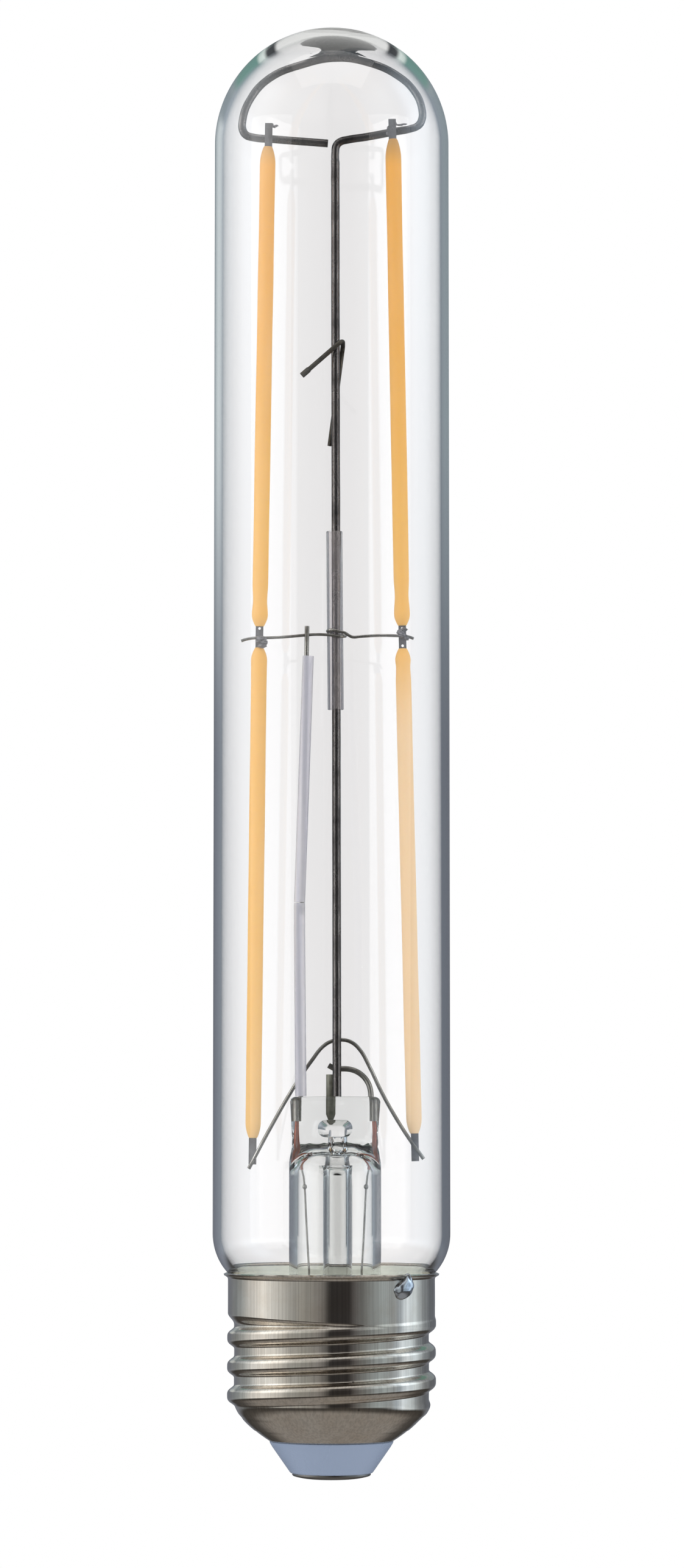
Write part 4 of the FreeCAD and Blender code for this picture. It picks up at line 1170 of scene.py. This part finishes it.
studio = {
    "floorHeight": -90.0,
    "floorSize": 9000.0,
    "glow": (250.0, 650.0),  # the floor turns to plain white between these distances
    "nearGlow": 0.72,
    "roomLevel": 0.7,  # light that soft surfaces get from all round
    "softenedLight": 0.95,  # what is left of the white for soft surfaces behind glass
    # what metal and glass mirror, behind the lamp
    "backColour": (0.27, 0.32, 0.35),
    "leftBackColour": (0.62, 0.68, 0.7),
    "leftBack": (-0.1, -0.42),
    # above the backdrop, from straight up to the side as the dome shows it: pale, a dark gap, a green wall
    "aboveHeights": (0.25, 0.31),
    "aboveWay": (0.7, 0.8),
    "aboveReach": 2.5,
    "upWay": (0, -0.233, 0.972),
    "aboveStops": [
        (0.0, (0.8, 0.81, 0.79)), (0.235, (0.78, 0.79, 0.78)), (0.255, (0.06, 0.065, 0.07)),
        (0.3, (0.07, 0.075, 0.08)), (0.325, (0.7, 0.78, 0.75)), (0.36, (0.6, 0.7, 0.66)),
        (0.385, (0.16, 0.3, 0.27)), (0.66, (0.18, 0.31, 0.28)), (0.8, (0.3, 0.35, 0.37)),
        (1.0, (0.27, 0.32, 0.35)),
    ],
    # in front of the lamp and below it, from straight down to straight up
    "frontWay": (-0.3, 0.3),
    "belowHeights": (-0.05, -0.15),
    "frontStops": [
        (0.0, (0.3, 0.29, 0.28)), (0.14, (0.3, 0.29, 0.28)), (0.24, (0.09, 0.085, 0.08)),
        (0.34, (0.05, 0.048, 0.045)), (0.46, (0.13, 0.12, 0.11)), (0.66, (0.15, 0.14, 0.13)),
        (0.8, (0.4, 0.4, 0.39)), (1.0, (0.7, 0.71, 0.72)),
    ],
    # what stands round the lamp near eye level, by angle from the front: negative on the left
    "aroundStops": [
        (-180, (0.16, 0.17, 0.2)), (-154, (0.2, 0.22, 0.26)), (-129, (0.29, 0.33, 0.36)),
        (-113, (0.48, 0.53, 0.56)), (-99, (0.86, 0.9, 0.93)), (-82, (1.06, 1.1, 1.12)),
        (-66, (0.84, 0.87, 0.88)), (-48, (0.47, 0.49, 0.49)), (-31, (0.34, 0.35, 0.34)),
        (-14, (0.26, 0.26, 0.26)), (-7, (0.15, 0.15, 0.15)), (-2, (0.035, 0.034, 0.035)),
        (20, (0.038, 0.036, 0.037)), (26, (0.12, 0.12, 0.125)), (38, (0.22, 0.24, 0.25)),
        (60, (0.4, 0.47, 0.51)), (74, (0.36, 0.41, 0.45)), (83, (0.47, 0.56, 0.66)),
        (93, (0.9, 1.05, 1.2)), (107, (0.76, 0.9, 1.02)), (122, (0.32, 0.37, 0.42)),
        (142, (0.15, 0.17, 0.2)), (180, (0.16, 0.17, 0.2)),
    ],
    "aroundHeights": (-0.36, -0.12, 0.6, 0.92),
    "brighter": (0.7, 0.08, 0.3),  # how much brighter it is above and below eye level, and where
    "backHeights": (0.08, 0.16),
    "backWay": (0.76, 0.86),
    "backdropReach": (34.0, 20.0),  # degrees to where the backdrop ends, and to where it starts to fade
    "behindReach": (102.0, 112.0),  # and to where the white starts again, behind the viewer
}


def rays(paint, out):
    return paint.node("ShaderNodeLightPath", out=out)


def either(paint, first, second):
    kinds = {0: rays(paint, first), 1: rays(paint, second)}
    return paint.node("ShaderNodeMath", {"operation": "MAXIMUM"}, kinds)


def lightPaths(paint):
    # rays that see the white straight on or through clear glass, and how much of it soft surfaces get
    mirrorings = rays(paint, "Glossy Depth")
    direct = 1 - mirrorings.maths("MINIMUM", mirrorings, 1.0)
    spreadings = rays(paint, "Diffuse Depth")
    soft = spreadings.maths("POWER", studio["softenedLight"], spreadings)
    return either(paint, "Is Camera Ray", "Is Transmission Ray") * direct, soft


def makeFloor():
    shape = bmesh.new()
    bmesh.ops.create_grid(shape, x_segments=1, y_segments=1, size=studio["floorSize"] / 2 * mm)
    bmesh.ops.translate(shape, verts=shape.verts, vec=(0, 0, studio["floorHeight"] * mm))
    floor = loose(shape, "floor")
    paint = Paint("paleFloor")
    clearWay, soft = lightPaths(paint)
    matt = {"Base Color": (0.9, 0.9, 0.9, 1), "Roughness": 0.9}
    card = paint.node("ShaderNodeBsdfPrincipled", None, matt)
    white = paint.node("ShaderNodeEmission", None, {"Color": (1, 1, 1, 1), "Strength": soft})
    flat = paint.point((1, 1, 0))
    far = paint.node("ShaderNodeVectorMath", {"operation": "LENGTH"}, {0: flat}, "Value")
    start, finish = (distance * mm for distance in studio["glow"])
    inputs = {0: far, 1: start, 2: finish, 3: studio["nearGlow"], 4: 1.0}
    glow = paint.node("ShaderNodeMapRange", None, inputs)
    seen = paint.node("ShaderNodeMixShader", None, {0: clearWay * glow, 1: card, 2: white})
    # metal and glass mirror the room right through the floor
    through = paint.node("ShaderNodeBsdfTransparent", None, {"Color": (1, 1, 1, 1)})
    mirrored = either(paint, "Is Glossy Ray", "Is Transmission Ray") * (1 - clearWay)
    whole = paint.node("ShaderNodeMixShader", None, {0: mirrored, 1: seen, 2: through})
    floor.data.materials.append(paint.finish(whole))


def makeWorld():
    paint = Paint("studioWorld", "World")
    way = paint.node("ShaderNodeTexCoord", out="Generated")
    across, depth, rise = (paint.node("ShaderNodeSeparateXYZ", None, {0: way}, axis) for axis in "XYZ")
    clearWay, soft = lightPaths(paint)
    flat = paint.node("ShaderNodeVectorMath", {"operation": "MULTIPLY"}, {0: way, 1: (1, 1, 0)})
    flat = paint.node("ShaderNodeVectorMath", {"operation": "NORMALIZE"}, {0: flat})

    def towards(vector, direction):
        inputs = {0: vector, 1: direction}
        return paint.node("ShaderNodeVectorMath", {"operation": "DOT_PRODUCT"}, inputs, "Value")

    backward = towards(flat, (0, 1, 0))
    leftShare = smooth(paint, across, *studio["leftBack"])
    back = paint.blend(leftShare, studio["backColour"], studio["leftBackColour"])
    above = smooth(paint, rise, *studio["aboveHeights"]) * smooth(paint, backward, *studio["aboveWay"])
    upward = towards(way, studio["upWay"])
    aside = across.maths("ABSOLUTE", across)
    spread = aside / upward.maths("MAXIMUM", upward, 0.01) / studio["aboveReach"]
    back = paint.blend(above, back, paint.ramp(spread, studio["aboveStops"]))
    inFront = smooth(paint, towards(flat, (0, -1, 0)), *studio["frontWay"])
    inFront = inFront.maths("MAXIMUM", inFront, smooth(paint, rise, *studio["belowHeights"]))
    mirror = paint.blend(inFront, back, paint.ramp(rise * 0.5 + 0.5, studio["frontStops"]))
    lowOut, lowIn, highIn, highOut = studio["aroundHeights"]
    tall = smooth(paint, rise, lowOut, lowIn) * smooth(paint, rise, highIn, highOut, 1.0, 0.0)
    overBack = smooth(paint, rise, *studio["backHeights"]) * smooth(paint, backward, *studio["backWay"])
    turned = across.maths("ARCTAN2", across, 0 - depth) / math.tau + 0.5
    stops = [(turn / 360 + 0.5, colour) for turn, colour in studio["aroundStops"]]
    more, eyeLevel, beyond = studio["brighter"]
    gain = 1 + more * smooth(paint, rise.maths("ABSOLUTE", rise), eyeLevel, beyond)
    inputs = {0: paint.ramp(turned, stops), "Scale": gain}
    around = paint.node("ShaderNodeVectorMath", {"operation": "SCALE"}, inputs)
    mirror = paint.blend(tall * (1 - overBack), mirror, around)
    room = paint.blend(rays(paint, "Is Diffuse Ray"), mirror, (studio["roomLevel"],) * 3)
    seen = paint.node("ShaderNodeBackground", None, {"Color": (1, 1, 1, 1), "Strength": soft})
    shown = paint.node("ShaderNodeBackground", None, {"Color": room, "Strength": 1.0})
    # the white backdrop only reaches so far to the sides; bent further than that, the glass shows the room
    ahead = towards(way, (0, 1, 0))
    reaches = [math.cos(math.radians(angle)) for angle in studio["backdropReach"] + studio["behindReach"]]
    white = smooth(paint, ahead, *reaches[:2]) + smooth(paint, ahead, *reaches[2:])
    white = white + rays(paint, "Diffuse Depth") + rays(paint, "Is Camera Ray")
    clearWay = clearWay * white.maths("MINIMUM", 1, white)
    whole = paint.node("ShaderNodeMixShader", None, {0: clearWay, 1: shown, 2: seen})
    bpy.context.scene.world = paint.finish(whole)


softboxes = [
    # name, place, what it faces, size across and up, radiance
    ("leftSoftbox", (-430, -200, 130), (0, 0, 100), (420, 440), 1.0),
    ("rightSoftbox", (420, -220, 130), (0, 0, 100), (420, 440), 0.9),
    ("topSoftbox", (0, -120, 640), (0, 0, 90), (500, 400), 0.8),
]


def makeLights():
    for name, place, target, size, level in softboxes:
        light = bpy.data.lights.new(name, "AREA")
        light.shape = "RECTANGLE"
        light.size, light.size_y = size[0] * mm, size[1] * mm
        light.energy = 4 * level * light.size * light.size_y
        lamp = bpy.data.objects.new(name, light)
        lamp.location = Vector(place) * mm
        aim = Vector(target) * mm - lamp.location
        lamp.rotation_mode = "QUATERNION"
        lamp.rotation_quaternion = aim.to_track_quat("-Z", "Y")
        lamp.visible_glossy = False
        bpy.context.scene.collection.objects.link(lamp)


viewpoint = {
    "place": (1.32, -600.0, 41.5),
    "pitch": 4.4,
    "focalPixels": 7770.0,
    "longSide": 2576,
    "sensor": 36.0,
}


def makeCamera():
    data = bpy.data.cameras.new("camera")
    data.sensor_width = viewpoint["sensor"]
    data.lens = viewpoint["focalPixels"] / viewpoint["longSide"] * viewpoint["sensor"]
    data.clip_start = 10 * mm
    data.clip_end = 20.0
    camera = bpy.data.objects.new("camera", data)
    camera.location = Vector(viewpoint["place"]) * mm
    camera.rotation_euler = (math.radians(90 + viewpoint["pitch"]), 0, 0)
    bpy.context.scene.collection.objects.link(camera)
    bpy.context.scene.camera = camera


makeFloor()
makeWorld()
makeLights()
makeCamera()
bpy.context.scene.view_settings.view_transform = "Standard"
print("stage ready")
